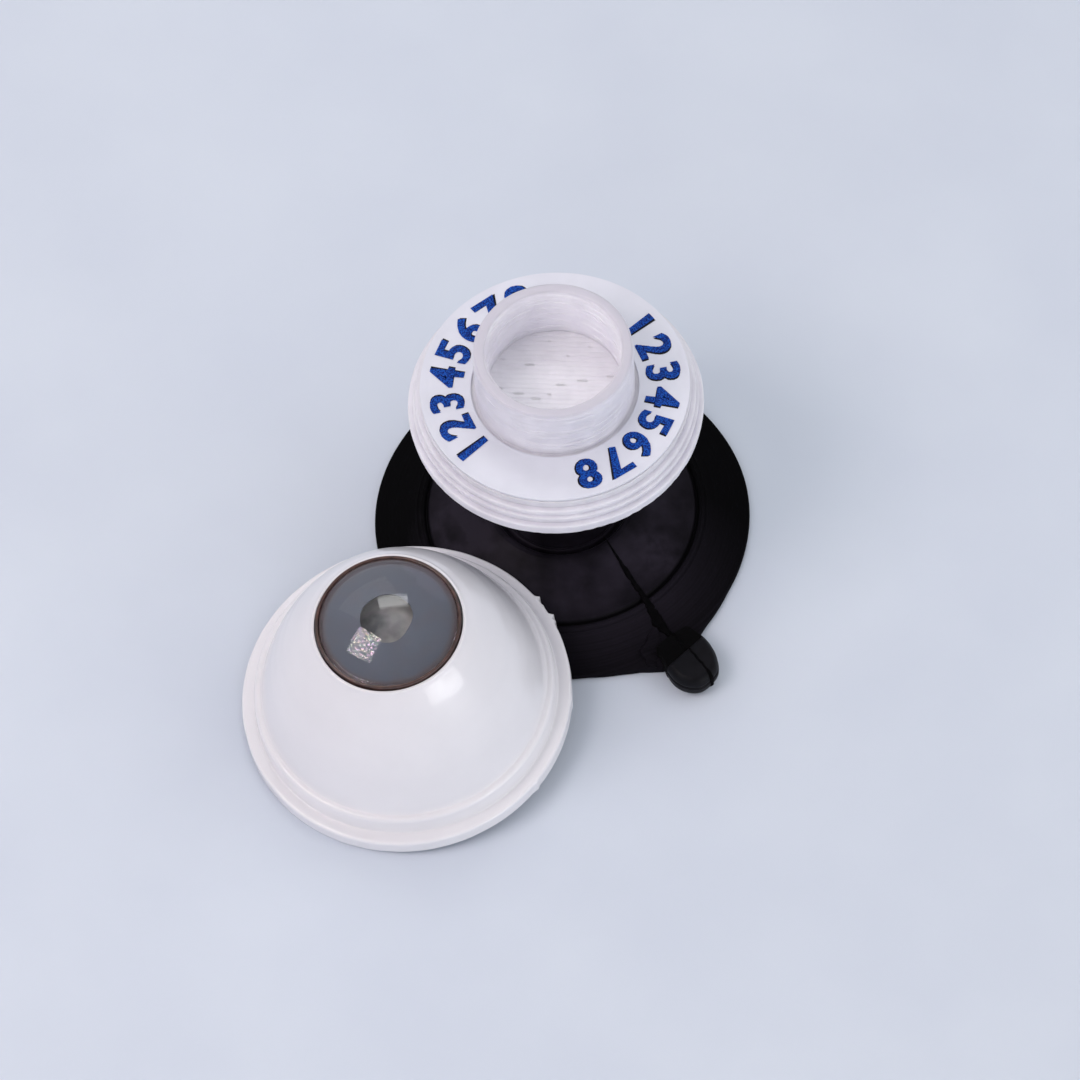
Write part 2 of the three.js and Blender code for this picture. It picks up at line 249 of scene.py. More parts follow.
# %% [markdown]
# ## Finishes
#
# A finish starts from what the real material is: its common name and how its surface was made. Its
# colour is written as the sRGB value that the eye sees, and one function turns it to the linear value
# that the shader wants. One more function adds a node with its settings and links, and everything
# below is made with it.


# %% Colours and nodes
def linear(colour):
    """A linear RGBA colour from sRGB #rrggbb: c/12.92 when dark, otherwise ((c+0.055)/1.055)^2.4."""
    parts = [int(colour[i : i + 2], 16) / 255 for i in (1, 3, 5)]
    return (*[c / 12.92 if c <= 0.04045 else ((c + 0.055) / 1.055) ** 2.4 for c in parts], 1.0)


def add_node(tree, kind, settings, links=None):
    """Adds a node. A setting is a property or an input's value, and a link feeds an input."""
    node = tree.nodes.new(kind)
    for key, value in settings.items():
        if isinstance(key, str) and hasattr(node, key):
            setattr(node, key, value)
        else:
            node.inputs[key].default_value = value
    for key, source in (links or {}).items():
        tree.links.new(source, node.inputs[key])
    return node


def start_finish(name, colour, settings):
    """A material whose shader has this colour and these settings, with the object's own coordinates."""
    material = bpy.data.materials.new(name)
    material.use_nodes = True
    tree = material.node_tree
    shader = tree.nodes["Principled BSDF"]
    shader.inputs["Base Color"].default_value = linear(colour)
    for key, value in settings.items():
        shader.inputs[key].default_value = value
    where = add_node(tree, "ShaderNodeTexCoord", {}).outputs["Object"]
    return material, tree, shader, where


print("colour and node helpers ready")

# %% [markdown]
# ## Grain and mottle
#
# Even a plain moulding isn't one flat colour: its skin has a fine grain, and its colour drifts a
# little. Both are noise in the object's own coordinates, so they ride with the piece. A texture's scale
# counts repeats in a metre and is worked out from a size in millimetres. The real grains are mostly
# too fine to show in the render, so no grain below is finer than 0.12 mm.


# %% Grain and mottle
def per_metre(millimetres):
    """How often a pattern of this size repeats in a metre, which is what a texture's scale means."""
    return 1000 / millimetres


def grain_bump(tree, shader, where, size, height, detail=3.0):
    """Raises a fine noise grain of this size and height, both in millimetres, on the shader."""
    noise = add_node(
        tree, "ShaderNodeTexNoise", {"Scale": per_metre(size), "Detail": detail}, {"Vector": where}
    )
    raised = add_node(
        tree,
        "ShaderNodeBump",
        {"Strength": 1.0, "Distance": height * MM},
        {"Height": noise.outputs["Fac"]},
    )
    tree.links.new(raised.outputs["Normal"], shader.inputs["Normal"])
    return raised


def mottle(tree, socket, where, first, second, size, low=0.35, high=0.65, detail=3.0):
    """Feeds a colour socket with two colours mixed by a noise of this size in millimetres."""
    noise = add_node(
        tree, "ShaderNodeTexNoise", {"Scale": per_metre(size), "Detail": detail}, {"Vector": where}
    )
    ramp = add_node(tree, "ShaderNodeValToRGB", {}, {"Fac": noise.outputs["Fac"]})
    ramp.color_ramp.elements[0].position = low
    ramp.color_ramp.elements[0].color = linear(first)
    ramp.color_ramp.elements[1].position = high
    ramp.color_ramp.elements[1].color = linear(second)
    tree.links.new(ramp.outputs["Color"], socket)


print("grain and mottle helpers ready")

# %% [markdown]
# ## Light and dark by place
#
# Wear, shade and drift depend on where a point lies. Small functions turn a distance or a noise into
# a number from 0 to 1, join such numbers, and let the result choose between two colours. Painted
# vertices would need a finer mesh for this, and nodes are exact at every pixel.


# %% Numbers that depend on the place
def between_values(tree, value, start, end, first, second):
    """A node output that goes from first to second while the value goes from start to end."""
    settings = {"From Min": start, "From Max": end, "To Min": first, "To Max": second}
    return add_node(tree, "ShaderNodeMapRange", settings, {"Value": value}).outputs["Result"]


def two_colours(tree, factor, first, second):
    """A node output with two colours mixed by a factor from 0 to 1."""
    ramp = add_node(tree, "ShaderNodeValToRGB", {}, {"Fac": factor})
    ramp.color_ramp.elements[0].color = linear(first)
    ramp.color_ramp.elements[1].color = linear(second)
    return ramp.outputs["Color"]


def seen_from(tree, where, place):
    """A node output with the way from a place in millimetres, in metres."""
    settings = {"Location": tuple(float(-x) * MM for x in place)}
    return add_node(tree, "ShaderNodeMapping", settings, {"Vector": where}).outputs["Vector"]


def distance_from(tree, where, place, keep=(1.0, 1.0, 1.0)):
    """A node output with the distance from a place in millimetres, in metres, along the kept axes."""
    way = seen_from(tree, where, place)
    kept = add_node(tree, "ShaderNodeVectorMath", {"operation": "MULTIPLY", 1: keep}, {0: way})
    length = add_node(tree, "ShaderNodeVectorMath", {"operation": "LENGTH"}, {0: kept.outputs["Vector"]})
    return length.outputs["Value"]


def by_distance(tree, where, place, start, end, first, second, keep=(1.0, 1.0, 1.0)):
    """A node output that goes from first to second as a place gets start to end millimetres away."""
    away = distance_from(tree, where, place, keep)
    return between_values(tree, away, start * MM, end * MM, first, second)


def product(tree, first, second):
    """A node output with the product of two outputs, kept between 0 and 1."""
    settings = {"operation": "MULTIPLY", "use_clamp": True}
    return add_node(tree, "ShaderNodeMath", settings, {0: first, 1: second}).outputs["Value"]


def added(tree, first, second):
    """A node output with the sum of two outputs, kept between 0 and 1."""
    settings = {"operation": "ADD", "use_clamp": True}
    return add_node(tree, "ShaderNodeMath", settings, {0: first, 1: second}).outputs["Value"]


def cloud(tree, where, size, low, high, first, second):
    """A node output that goes from first to second where a noise of this size goes from low to high."""
    settings = {"Scale": per_metre(size), "Detail": 4.0}
    noise = add_node(tree, "ShaderNodeTexNoise", settings, {"Vector": where})
    return between_values(tree, noise.outputs["Fac"], low, high, first, second)


print("helpers for places ready")

# %% [markdown]
# ## Camera
#
# The photograph looks down at 58 degrees from far away through a long lens, rolled a little. The
# camera is placed so that the foot of the cup's axis falls on the pixel where the photograph has it.

# %% Make the camera
PICTURE_SIDE = 1080
FOCAL_PIXELS = 9000
PIXELS_PER_MM = 11.75
ELEVATION = math.radians(58.2)
ROLL = math.radians(-3.4)
CUP_PIXEL = (562.3, 519.8)
SENSOR = 36

distance = FOCAL_PIXELS / PIXELS_PER_MM
forward = np.array([0, math.cos(ELEVATION), -math.sin(ELEVATION)])
level_up = np.array([0, math.sin(ELEVATION), math.cos(ELEVATION)])
level_right = np.array([1.0, 0, 0])
right = math.cos(ROLL) * level_right + math.sin(ROLL) * level_up
above = -math.sin(ROLL) * level_right + math.cos(ROLL) * level_up
across = (CUP_PIXEL[0] - PICTURE_SIDE / 2) / FOCAL_PIXELS * distance
down = (CUP_PIXEL[1] - PICTURE_SIDE / 2) / FOCAL_PIXELS * distance
camera_point = cup_base - distance * forward - across * right + down * above

camera_data = bpy.data.cameras.new("photo_camera")
camera_data.sensor_width = SENSOR
camera_data.lens = SENSOR * FOCAL_PIXELS / PICTURE_SIDE
camera_data.clip_start = 0.01
camera_data.clip_end = 20
camera = bpy.data.objects.new("photo_camera", camera_data)
bpy.context.scene.collection.objects.link(camera)
placed = Matrix.Identity(4)
for row in range(3):
    placed[row][0] = right[row]
    placed[row][1] = above[row]
    placed[row][2] = -forward[row]
    placed[row][3] = camera_point[row] * MM
camera.matrix_world = placed
bpy.context.scene.camera = camera
print("camera at", [round(x, 4) for x in camera.location], "lens", round(camera_data.lens, 1))

# %% [markdown]
# ## Floor
#
# The object stands on a plain pale bench. One quad is enough for it, with a dull painted finish whose
# colour drifts a little.

# %% Floor
FLOOR_SIZE = 3.0
floor_finish, floor_tree, floor_shader, floor_where = start_finish(
    "painted bench, pale blue-grey", "#CDD5E0", {"Roughness": 0.85, "Specular IOR Level": 0.2}
)
mottle(floor_tree, floor_shader.inputs["Base Color"], floor_where, "#CBD3DF", "#CFD7E2", 18.0)
half = FLOOR_SIZE / 2
floor_mesh = bpy.data.meshes.new("floor")
floor_corners = [(-half, -half, 0), (half, -half, 0), (half, half, 0), (-half, half, 0)]
floor_mesh.from_pydata(floor_corners, [], [(0, 1, 2, 3)])
floor_mesh.materials.append(floor_finish)
floor = bpy.data.objects.new("floor", floor_mesh)
bpy.context.scene.collection.objects.link(floor)
print("floor is", FLOOR_SIZE, "metres wide")

# %% [markdown]
# ## Soft panels
#
# The photograph's light is soft and comes from several sides. An area light is such a lamp: its size
# decides how soft the shade is, and how large its image is in the glossy pieces. Lamps that only
# lighten the shade can be kept out of the glossy and the clear pieces.

# %% One soft panel
PANEL_REACH = 0.36


def panel(name, azimuth, elevation, turn, size, glow, reach=PANEL_REACH, mirrored=True, in_glass=True):
    """A soft panel that faces the cup's foot from this direction, reach away from it.

    Its middle is reach times (cos e cos a, cos e sin a, sin e). The turn swings it about that line. The
    glow is how bright its face looks, and mirrored and in_glass say whether glossy and clear things
    show it.
    """
    data = bpy.data.lights.new(name, "AREA")
    data.shape = "RECTANGLE"
    data.size, data.size_y = size
    data.energy = glow * math.pi * size[0] * size[1]
    lamp = bpy.data.objects.new(name, data)
    bpy.context.scene.collection.objects.link(lamp)
    a, e, t = math.radians(azimuth), math.radians(elevation), math.radians(turn)
    away = np.array([math.cos(e) * math.cos(a), math.cos(e) * math.sin(a), math.sin(e)])
    level = np.array([-math.sin(a), math.cos(a), 0])
    edge = math.cos(t) * level + math.sin(t) * np.cross(away, level)
    where = cup_base * MM + away * reach
    placed = np.eye(4)
    placed[:3] = np.column_stack([edge, np.cross(away, edge), away, where])
    lamp.matrix_world = Matrix(placed.tolist())
    lamp.visible_camera = False
    lamp.visible_glossy = mirrored
    lamp.visible_transmission = in_glass
    print(name, "at", where.round(3), "energy", round(data.energy, 3))
    return data


print("panels stand", PANEL_REACH, "metres away unless told otherwise")

# %% [markdown]
# ## A panel of small lights
#
# On the cornea the photograph shows the image of a lamp that is a plate of many small lights: bright
# specks in rows, a little coloured. A noise and a sine on the lamp's own face make such specks. The
# same pattern, coarser and with its two halves shifted, makes the broken patch on the shell.


# %% Break a panel into specks
def speckle(data, columns, across, along, low, high, tint, stagger=0.0):
    """Breaks a panel's face into rows of small lights.

    The face is bright where a sine of this many turns across it is high, times a noise with this many
    cells across and along that fades in from low to high. The noise's own colours tint it. A stagger
    shifts one half of the face up and the other down by this share of its width.
    """
    data.use_nodes = True
    tree = data.node_tree
    face = add_node(tree, "ShaderNodeNewGeometry", {}).outputs["Parametric"]
    cells = add_node(tree, "ShaderNodeMapping", {"Scale": (across, along, 1.0)}, {"Vector": face})
    noise = add_node(
        tree, "ShaderNodeTexNoise", {"Scale": 1.0, "Detail": 1.0}, {"Vector": cells.outputs["Vector"]}
    )
    specks = between_values(tree, noise.outputs["Fac"], low, high, 0.0, 1.0)
    apart = add_node(tree, "ShaderNodeSeparateXYZ", {}, {"Vector": face})
    around_face = columns * 2 * math.pi
    turns = add_node(
        tree, "ShaderNodeMath", {"operation": "MULTIPLY", 1: around_face}, {0: apart.outputs["X"]}
    )
    wave = add_node(tree, "ShaderNodeMath", {"operation": "SINE"}, {0: turns.outputs["Value"]})
    rows = between_values(tree, wave.outputs["Value"], -0.5, 0.5, 0.25, 1.0)
    strength = product(tree, specks, rows)
    if stagger:
        half_shift = between_values(tree, apart.outputs["X"], 0.49, 0.51, -stagger, stagger)
        across_face = add_node(
            tree, "ShaderNodeMath", {"operation": "ADD"}, {0: apart.outputs["Y"], 1: half_shift}
        )
        from_line = add_node(
            tree,
            "ShaderNodeMath",
            {"operation": "COMPARE", 1: 0.5, 2: 0.5 - stagger},
            {0: across_face.outputs["Value"]},
        )
        strength = product(tree, strength, from_line.outputs["Value"])
    pale = add_node(
        tree,
        "ShaderNodeHueSaturation",
        {"Saturation": tint, "Value": 1.9},
        {"Color": noise.outputs["Color"]},
    )
    emission = tree.nodes["Emission"]
    tree.links.new(pale.outputs["Color"], emission.inputs["Color"])
    tree.links.new(strength, emission.inputs["Strength"])


print("speckle helper ready")

# %% [markdown]
# ## The lamps and the sky
#
# Each lamp stands where its image or its shade falls as in the photograph. The grid makes the small
# bright square on the cornea, the window behind makes the fainter oblong above the pupil, and the low
# lamp makes the patch on the shell. Three fills and an even pale sky give the rest.

# %% Place the lamps
SKY_STRENGTH = 0.54
lamp_grid = panel("lamp_grid", -158.4, 53.0, 28.7, (0.176, 0.172), 12.5)
speckle(lamp_grid, 8, 17.0, 11.0, 0.43, 0.56, 1.0)
panel("back_window", 94.9, 60.0, 0.0, (0.17, 0.09), 3.0)
low_lamp = panel("low_lamp", -46.0, 5.5, 0.0, (0.24, 0.12), 5.0)
speckle(low_lamp, 0.25, 26.0, 14.0, 0.26, 0.44, 0.15, stagger=0.13)
panel("right_fill", 8.0, 48.0, 0.0, (0.5, 0.4), 1.15, reach=0.6, mirrored=False, in_glass=False)
panel("front_fill", -112.0, 24.0, 0.0, (0.5, 0.3), 1.15, reach=0.6, mirrored=False, in_glass=False)
panel("back_fill", 120.0, 40.0, 0.0, (0.5, 0.4), 0.5, reach=0.6, mirrored=False)
world = bpy.data.worlds.new("studio")
bpy.context.scene.world = world
world.use_nodes = True
sky = world.node_tree.nodes["Background"]
sky.inputs["Color"].default_value = linear("#F1F0F6")
sky.inputs["Strength"].default_value = SKY_STRENGTH
bpy.context.scene.view_settings.view_transform = "Standard"
print("sky strength", SKY_STRENGTH)

# %% [markdown]
# ## Moulded rubber
#
# The cup is compression-moulded black rubber. The thick crown is satin and a little brownish, with
# painted shade towards the hub and the groove, and the thin skirt is nearly black and quite matt, with a
# painted sheen near the groove. One material does both, because the distance from the cup's axis can
# choose between them. First come a few places that the finish and the shapes share.

# %% Places on the cup
GROOVE_RADIUS = 11.5
TAB_AZIMUTH = math.radians(-57.3)
TAB_STEP = 17.85
TAB_STEP_SLANT = 0.165
LEVEL = (1.0, 1.0, 0.0)
cos_tab, sin_tab = math.cos(TAB_AZIMUTH), math.sin(TAB_AZIMUTH)


def at_cup(azimuth, radius, height=2.5):
    """A place on the cup, in millimetres, from its direction, its radius and its height."""
    a = math.radians(azimuth)
    return cup_base + (radius * math.cos(a), radius * math.sin(a), height)


print("the tab points towards", at_cup(math.degrees(TAB_AZIMUTH), TAB_STEP, 0.0).round(2))

# %% [markdown]
# ## Rubber of the cup
#
# The crown is blotchy all over, and painted shade darkens it towards the hub and the groove, so it is
# palest in the middle of its slope. One patch on it is worn paler still, and on its left side a painted
# sheen makes another. The skirt has a painted sheen, palest near the groove on the side of the tab, and
# shows fine turning marks. The groove is painted black as shade. Each of these is a number from 0 to 1,
# and together they choose between nearly black and a brownish dark grey.

# %% Finish of the cup's rubber
RUBBER_GRAIN = 0.12
TURNING_MARK = 0.22
CROWN_EDGE = (11.3, 11.75)
# painted shade on the crown: these two ranges darken it towards the groove and towards the hub
GROOVE_SIDE_SHADE = (9.2, 11.3)
HUB_SHADE = (6.4, 7.8)
# painted sheen on the skirt: paler near the groove, fading out towards the lip
SKIRT_SHEEN_FADE = (11.7, 15.6)
WORN_PLACE = at_cup(-34, 9.3)
# where a painted sheen lightens the crown's left side
CROWN_SHEEN_PLACE = at_cup(196, 8.4)
# the place on the tab's side where the skirt's painted sheen is strongest
SKIRT_SHEEN_PLACE = at_cup(-62, 13.5, 1.0)
rubber, tree, shader, where = start_finish(
    "moulded black rubber", "#08080A", {"Specular IOR Level": 0.05}
)
crown_share = by_distance(tree, where, cup_base, *CROWN_EDGE, 1.0, 0.0, LEVEL)
# painted shade: the crown's colour is darkened towards the groove and towards the hub's recess
groove_side_painted_shade = by_distance(tree, where, cup_base, *GROOVE_SIDE_SHADE, 1.0, 0.55, LEVEL)
hub_side_painted_shade = by_distance(tree, where, cup_base, *HUB_SHADE, 0.6, 1.0, LEVEL)
blotches = cloud(tree, where, 3.0, 0.34, 0.66, 0.36, 1.0)
painted_slope_shade = product(tree, groove_side_painted_shade, hub_side_painted_shade)
crown_tone_and_painted_shade = product(tree, product(tree, crown_share, blotches), painted_slope_shade)
worn = by_distance(tree, where, WORN_PLACE, 0.4, 2.8, 0.9, 0.0)
worn_light = product(tree, worn, cloud(tree, where, 0.9, 0.3, 0.75, 0.0, 1.0))
# painted sheen: the crown's left side is painted paler, as the lamp at the upper left shines on it
crown_sheen_share = by_distance(tree, where, CROWN_SHEEN_PLACE, 1.0, 5.5, 0.7, 0.0)
crown_painted_sheen = product(tree, crown_sheen_share, cloud(tree, where, 1.6, 0.35, 0.65, 0.0, 1.0))
# painted sheen: the skirt is painted paler near the groove and on the tab's side, broken by the real
# turning marks
skirt_share = by_distance(tree, where, cup_base, *SKIRT_SHEEN_FADE, 0.7, 0.3, LEVEL)
skirt_sheen_side = by_distance(tree, where, SKIRT_SHEEN_PLACE, 3.0, 14.0, 1.0, 0.05)
outside_crown = between_values(tree, crown_share, 0.0, 1.0, 1.0, 0.0)
reach_out = distance_from(tree, where, cup_base, LEVEL)
ring_noise = add_node(
    tree,
    "ShaderNodeTexNoise",
    {"noise_dimensions": "1D", "Scale": per_metre(TURNING_MARK), "Detail": 4.0},
    {"W": reach_out},
)
turning_marks = between_values(tree, ring_noise.outputs["Fac"], 0.3, 0.7, 0.62, 1.0)
marked = product(tree, outside_crown, turning_marks)
skirt_painted_sheen = product(tree, product(tree, skirt_share, skirt_sheen_side), marked)
all_light = added(tree, added(tree, crown_tone_and_painted_shade, skirt_painted_sheen), added(tree, worn_light, crown_painted_sheen))
# painted shade: the colour is darkened in and beside the groove
off_groove = add_node(
    tree, "ShaderNodeMath", {"operation": "SUBTRACT", 1: GROOVE_RADIUS * MM}, {0: reach_out}
)
off_groove = add_node(tree, "ShaderNodeMath", {"operation": "ABSOLUTE"}, {0: off_groove.outputs["Value"]})
groove_painted_shade = between_values(tree, off_groove.outputs["Value"], 0.12 * MM, 0.3 * MM, 0.15, 1.0)
light = product(tree, all_light, groove_painted_shade)
# real tone and wear, together with the painted shade and sheen, choose between these two colours
tree.links.new(two_colours(tree, light, "#020203", "#28242D"), shader.inputs["Base Color"])
tree.links.new(between_values(tree, crown_share, 0.0, 1.0, 0.75, 0.42), shader.inputs["Roughness"])
grain_bump(tree, shader, where, RUBBER_GRAIN, 0.004)
print(rubber.name, "has", len(tree.nodes), "nodes")

# %% [markdown]
# ## Rubber of the flash and of the tab
#
# Flash is the thin rubber that was squeezed out between the halves of the mould and torn off, so it
# is rougher and duller than the rest. The tab's flat block is dull and black, and past a slanted step
# its thumb is a little greyer and shines a little.

# %% Finish of the flash and of the tab
flash_rubber, tree, shader, where = start_finish(
    "torn rubber flash", "#050506", {"Roughness": 0.9, "Specular IOR Level": 0.05}
)
mottle(tree, shader.inputs["Base Color"], where, "#040405", "#09080A", 0.5)
grain_bump(tree, shader, where, RUBBER_GRAIN, 0.006)

tab_rubber, tree, shader, where = start_finish(
    "moulded black rubber, pull tab", "#0A090B", {"Roughness": 0.5, "Specular IOR Level": 0.12}
)
slanted = (cos_tab - TAB_STEP_SLANT * sin_tab, sin_tab + TAB_STEP_SLANT * cos_tab, 0.0)
along_tab = add_node(
    tree,
    "ShaderNodeVectorMath",
    {"operation": "DOT_PRODUCT", 1: slanted},
    {0: seen_from(tree, where, cup_base)},
)
thumb_share = between_values(
    tree, along_tab.outputs["Value"], (TAB_STEP - 0.05) * MM, (TAB_STEP + 0.15) * MM, 0.0, 1.0
)
thumb_light = product(tree, thumb_share, cloud(tree, where, 0.8, 0.3, 0.7, 0.55, 1.0))
tree.links.new(two_colours(tree, thumb_light, "#020203", "#0F0F14"), shader.inputs["Base Color"])
tree.links.new(between_values(tree, thumb_share, 0.0, 1.0, 0.95, 0.5), shader.inputs["Roughness"])
grain_bump(tree, shader, where, RUBBER_GRAIN, 0.006)
print(flash_rubber.name, "and", tab_rubber.name, "ready")

# %% [markdown]
# ## The suction cup
#
# The real cup is one moulding: a thin skirt, a groove, a domed crown, a hub with a recess and a bead,
# and the neck and knob that carry the stand. One section, turned once, makes it all, so the rubber
# has no joint. Rings of fine turning marks and two raised lines beside the groove are added to the
# section's height, and near the pull tab the lip is drawn outwards into a web.

# %% The cup's section
SKIRT_RADIUS = 16.0
GROOVE_HEIGHT = 1.9
HUB_RADIUS = 6.4
HUB_HEIGHT = 4.0
CROWN_CURVE = 1.25
LIP_HEIGHT = 0.5
GROOVE_DEPTH = 0.3
GROOVE_WIDTH = 0.16
FIRST_LINE = 11.95
SECOND_LINE = 12.35
RAISED_WIDTH = 0.08


def cup_top(radius):
    """Height of the rubber's top: a straight skirt, then a crown that rises as a power of the way in."""
    skirt_share = (SKIRT_RADIUS - radius) / (SKIRT_RADIUS - GROOVE_RADIUS)
    crown_share = np.clip((GROOVE_RADIUS - radius) / (GROOVE_RADIUS - HUB_RADIUS), 0, 1)
    skirt = LIP_HEIGHT + (GROOVE_HEIGHT - LIP_HEIGHT) * skirt_share
    crown = GROOVE_HEIGHT + (HUB_HEIGHT - GROOVE_HEIGHT) * crown_share**CROWN_CURVE
    return np.where(radius > GROOVE_RADIUS, skirt, crown)


def cup_detail(radius):
    """Small heights on the top: the groove, two raised lines beside it, and the turning marks."""
    groove = -GROOVE_DEPTH * bump(radius, GROOVE_RADIUS, GROOVE_WIDTH)
    first_line = 0.07 * bump(radius, FIRST_LINE, RAISED_WIDTH)
    second_line = 0.06 * bump(radius, SECOND_LINE, RAISED_WIDTH)
    marks = 0.014 * wander(radius, 0.17, 3) * smooth_step(radius, 12.5, 13.0)
    faint = 0.005 * wander(radius, 0.24, 4) * (1 - smooth_step(radius, 10.8, 11.2))
    return groove + first_line + second_line + marks + faint


print("the groove lies", GROOVE_RADIUS, "and the lip", SKIRT_RADIUS, "millimetres from the axis")

# %% [markdown]
# ## One line from the foot to the knob
#
# The section starts under the crown, goes out to the foot, back up over the skirt and the crown, down
# into the hub's recess and over its bead, and up the neck to the knob. The knob is hidden in the
# post, and is made all the same, because the stand turns on it.

# %% Join the cup's section
FOOT_INNER = 15.1
FOOT_LIFT = 0.05
CEILING = 1.9
RECESS_FLOOR = 3.0
BEAD_TOP = 3.45
NECK_RADIUS = 3.2
KNOB_RADIUS = 4.0
KNOB_BASE = 12.9
KNOB_TOP = 16.3
SLOPE_STEP = 0.055
underside = [(0, CEILING), (HUB_RADIUS, CEILING), (11.4, 1.3), (FOOT_INNER, FOOT_LIFT)]
foot = rounded([
    (FOOT_INNER, FOOT_LIFT, 0), (15.25, 0, 0.05), (15.9, 0, 0.08), (SKIRT_RADIUS, 0.2, 0.1),
    (15.93, 0.52, 0.12), (15.7, 0.59, 0)])
slope_radius = np.arange(15.65, HUB_RADIUS - 1e-6, -SLOPE_STEP)
slope = np.stack([slope_radius, cup_top(slope_radius) + cup_detail(slope_radius)], axis=1)
hub = rounded([
    (6.45, 3.985, 0), (HUB_RADIUS, HUB_HEIGHT, 0.04), (6.1, 4.03, 0.1), (5.9, 3.95, 0.1),
    (5.86, RECESS_FLOOR, 0.15), (5.4, RECESS_FLOOR, 0.12), (5.25, BEAD_TOP, 0.16),
    (4.95, BEAD_TOP, 0.16), (4.8, RECESS_FLOOR, 0.12), (NECK_RADIUS, RECESS_FLOOR, 0.4),
    (NECK_RADIUS, KNOB_BASE, 0.2), (KNOB_RADIUS, KNOB_BASE, 0.15), (KNOB_RADIUS, 15.5, 0.3),
    (3.2, KNOB_TOP, 0.3), (0, KNOB_TOP, 0)])
cup_line = np.vstack([with_steps(np.array(underside), 0.6), foot[1:], slope, hub[1:]])
print("the cup's section has", len(cup_line), "points")

# %% [markdown]
# ## The cup with its web
#
# Towards the pull tab the lip is drawn outwards and up into a web. How far depends on the direction,
# and fades inwards from the lip, so the web is part of the turned surface and has no joint with it.

# %% Turn the cup
CUP_COLUMNS = 350
WEB_START = 13.8
WEB_LIFT = 0.35
LIP_TRIM = 0.04
WEB_REACH = np.array([
    (-28, 0), (-18, 0.4), (-12.5, 0.78), (-9, 1.25), (-6, 1.7), (0, 1.5), (6, 1.0), (9.4, 0.62),
    (12.5, 0.4), (18, 0.22), (26, 0)])


def from_tab(angle):
    """How far a direction is from the pull tab's, in degrees from -180 to 180, anticlockwise."""
    return np.degrees((angle - TAB_AZIMUTH + math.pi) % (2 * math.pi) - math.pi)


around = angles(CUP_COLUMNS)
radius = cup_line[:, :1]
height = cup_line[:, 1:]
web = np.interp(from_tab(around), WEB_REACH[:, 0], WEB_REACH[:, 1])
outward = smooth_step(radius, WEB_START, SKIRT_RADIUS)
spread = radius + outward * (web - LIP_TRIM + 0.03 * round_wander(around, 9, 11))
lifted = height + WEB_LIFT * outward * web * (height > 0.3)
cup = skin("suction_cup", turned(spread, lifted, around), on_cup, rubber)
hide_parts("suction_skirt", "suction_crown")
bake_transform(cup)

# %% [markdown]
# ## The flash rib
#
# Where the two halves of the mould met, rubber was squeezed out and left a thin, ragged rib. It runs
# from the hub across the crown and the groove to the pull tab, and grows wider on the way. It is a
# low strip carried along that path, with its edges moved by seeded noise. Each point of the path is a
# radius, a direction in degrees and the rib's width there.

# %% Carry the rib along its path
RIB_PATH = np.array([
    (5.5, -52.5, 0.1), (6.4, -53.5, 0.16), (7.2, -54.2, 0.26), (8.1, -54.5, 0.38), (9.1, -54.8, 0.62),
    (9.6, -55.0, 0.48), (10.2, -55.1, 0.45), (11.2, -55.3, 0.5), (12.0, -55.5, 0.62),
    (12.9, -56.2, 0.85), (13.8, -56.8, 1.1), (14.4, -56.8, 0.8), (15.0, -56.4, 0.5),
    (16.2, -56.4, 0.42)])
RIB_HEIGHT = 0.16
RIB_STEPS = 150
along = np.linspace(RIB_PATH[0, 0], RIB_PATH[-1, 0], RIB_STEPS)
rib_angle = np.radians(np.interp(along, RIB_PATH[:, 0], RIB_PATH[:, 1])) + 0.003 * wander(along, 0.5, 21)
rib_width = np.interp(along, RIB_PATH[:, 0], RIB_PATH[:, 2])
left_edge = rib_width / 2 * (1 + 0.22 * wander(along, 0.18, 22))
right_edge = rib_width / 2 * (1 + 0.3 * wander(along, 0.22, 23))
taper = np.sin(np.linspace(0, 0.6 * math.pi, RIB_STEPS)) ** 0.25


def on_surface(reach, angle):
    """Height of the cup's top at this distance and direction, with the web's lift.

    The web moved each point outwards, so the height is looked up among finely spaced moved points.
    """
    fine = np.linspace(HUB_RADIUS, 15.9, 300)
    push = smooth_step(fine, WEB_START, SKIRT_RADIUS)
    heights = []
    for r, w in zip(reach, np.interp(from_tab(angle), WEB_REACH[:, 0], WEB_REACH[:, 1])):
        moved = fine + push * (w - LIP_TRIM)
        heights.append(np.interp(r, moved, cup_top(fine) + WEB_LIFT * push * w))
    return np.array(heights)


bed = np.where(along < HUB_RADIUS, 3.98, on_surface(along, rib_angle))


def strip(name, middle, sideways, upwards, left, right, rise, place, material, sunk=0.1):
    """A low strip along a path, as a closed skin.

    At each step the section goes once round: the point lies left or right times the cosine to the
    side, and sunk + rise times the clipped sine above a line that lies sunk below the path.
    """
    turn = angles(20)
    side = np.cos(turn)
    out = np.where(side > 0, left[:, None] * side, right[:, None] * side)
    up = (sunk + rise[:, None]) * np.clip(np.sin(turn), -0.4, 0.62) / 0.62 - sunk
    grid = middle[:, None] + sideways[:, None] * out[..., None] + upwards[:, None] * up[..., None]
    ends = grid.mean(axis=1, keepdims=True)[[0, -1]] + 0 * grid[[0, -1]]
    grid = np.concatenate([ends[:1], grid, ends[1:]])
    return skin(name, grid, place, material)


rib_middle = np.column_stack([along * np.cos(rib_angle), along * np.sin(rib_angle), bed])
rib_side = np.column_stack([-np.sin(rib_angle), np.cos(rib_angle), 0 * along])
straight_up = np.tile([0.0, 0.0, 1.0], (RIB_STEPS, 1))
rib = strip(
    "flash_rib", rib_middle, rib_side, straight_up, left_edge * taper, right_edge * taper,
    RIB_HEIGHT * taper, on_cup, flash_rubber)
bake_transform(rib)

# %% [markdown]
# ## The film beside the tab
#
# Beside the tab's root some flash lies flat on the skirt as a thin film. It is carried along a path in
# the tab's own frame, whose first axis points out along the tab, and its bed follows the web. Each
# point of the path is a place out, a place to the side and half the film's width.

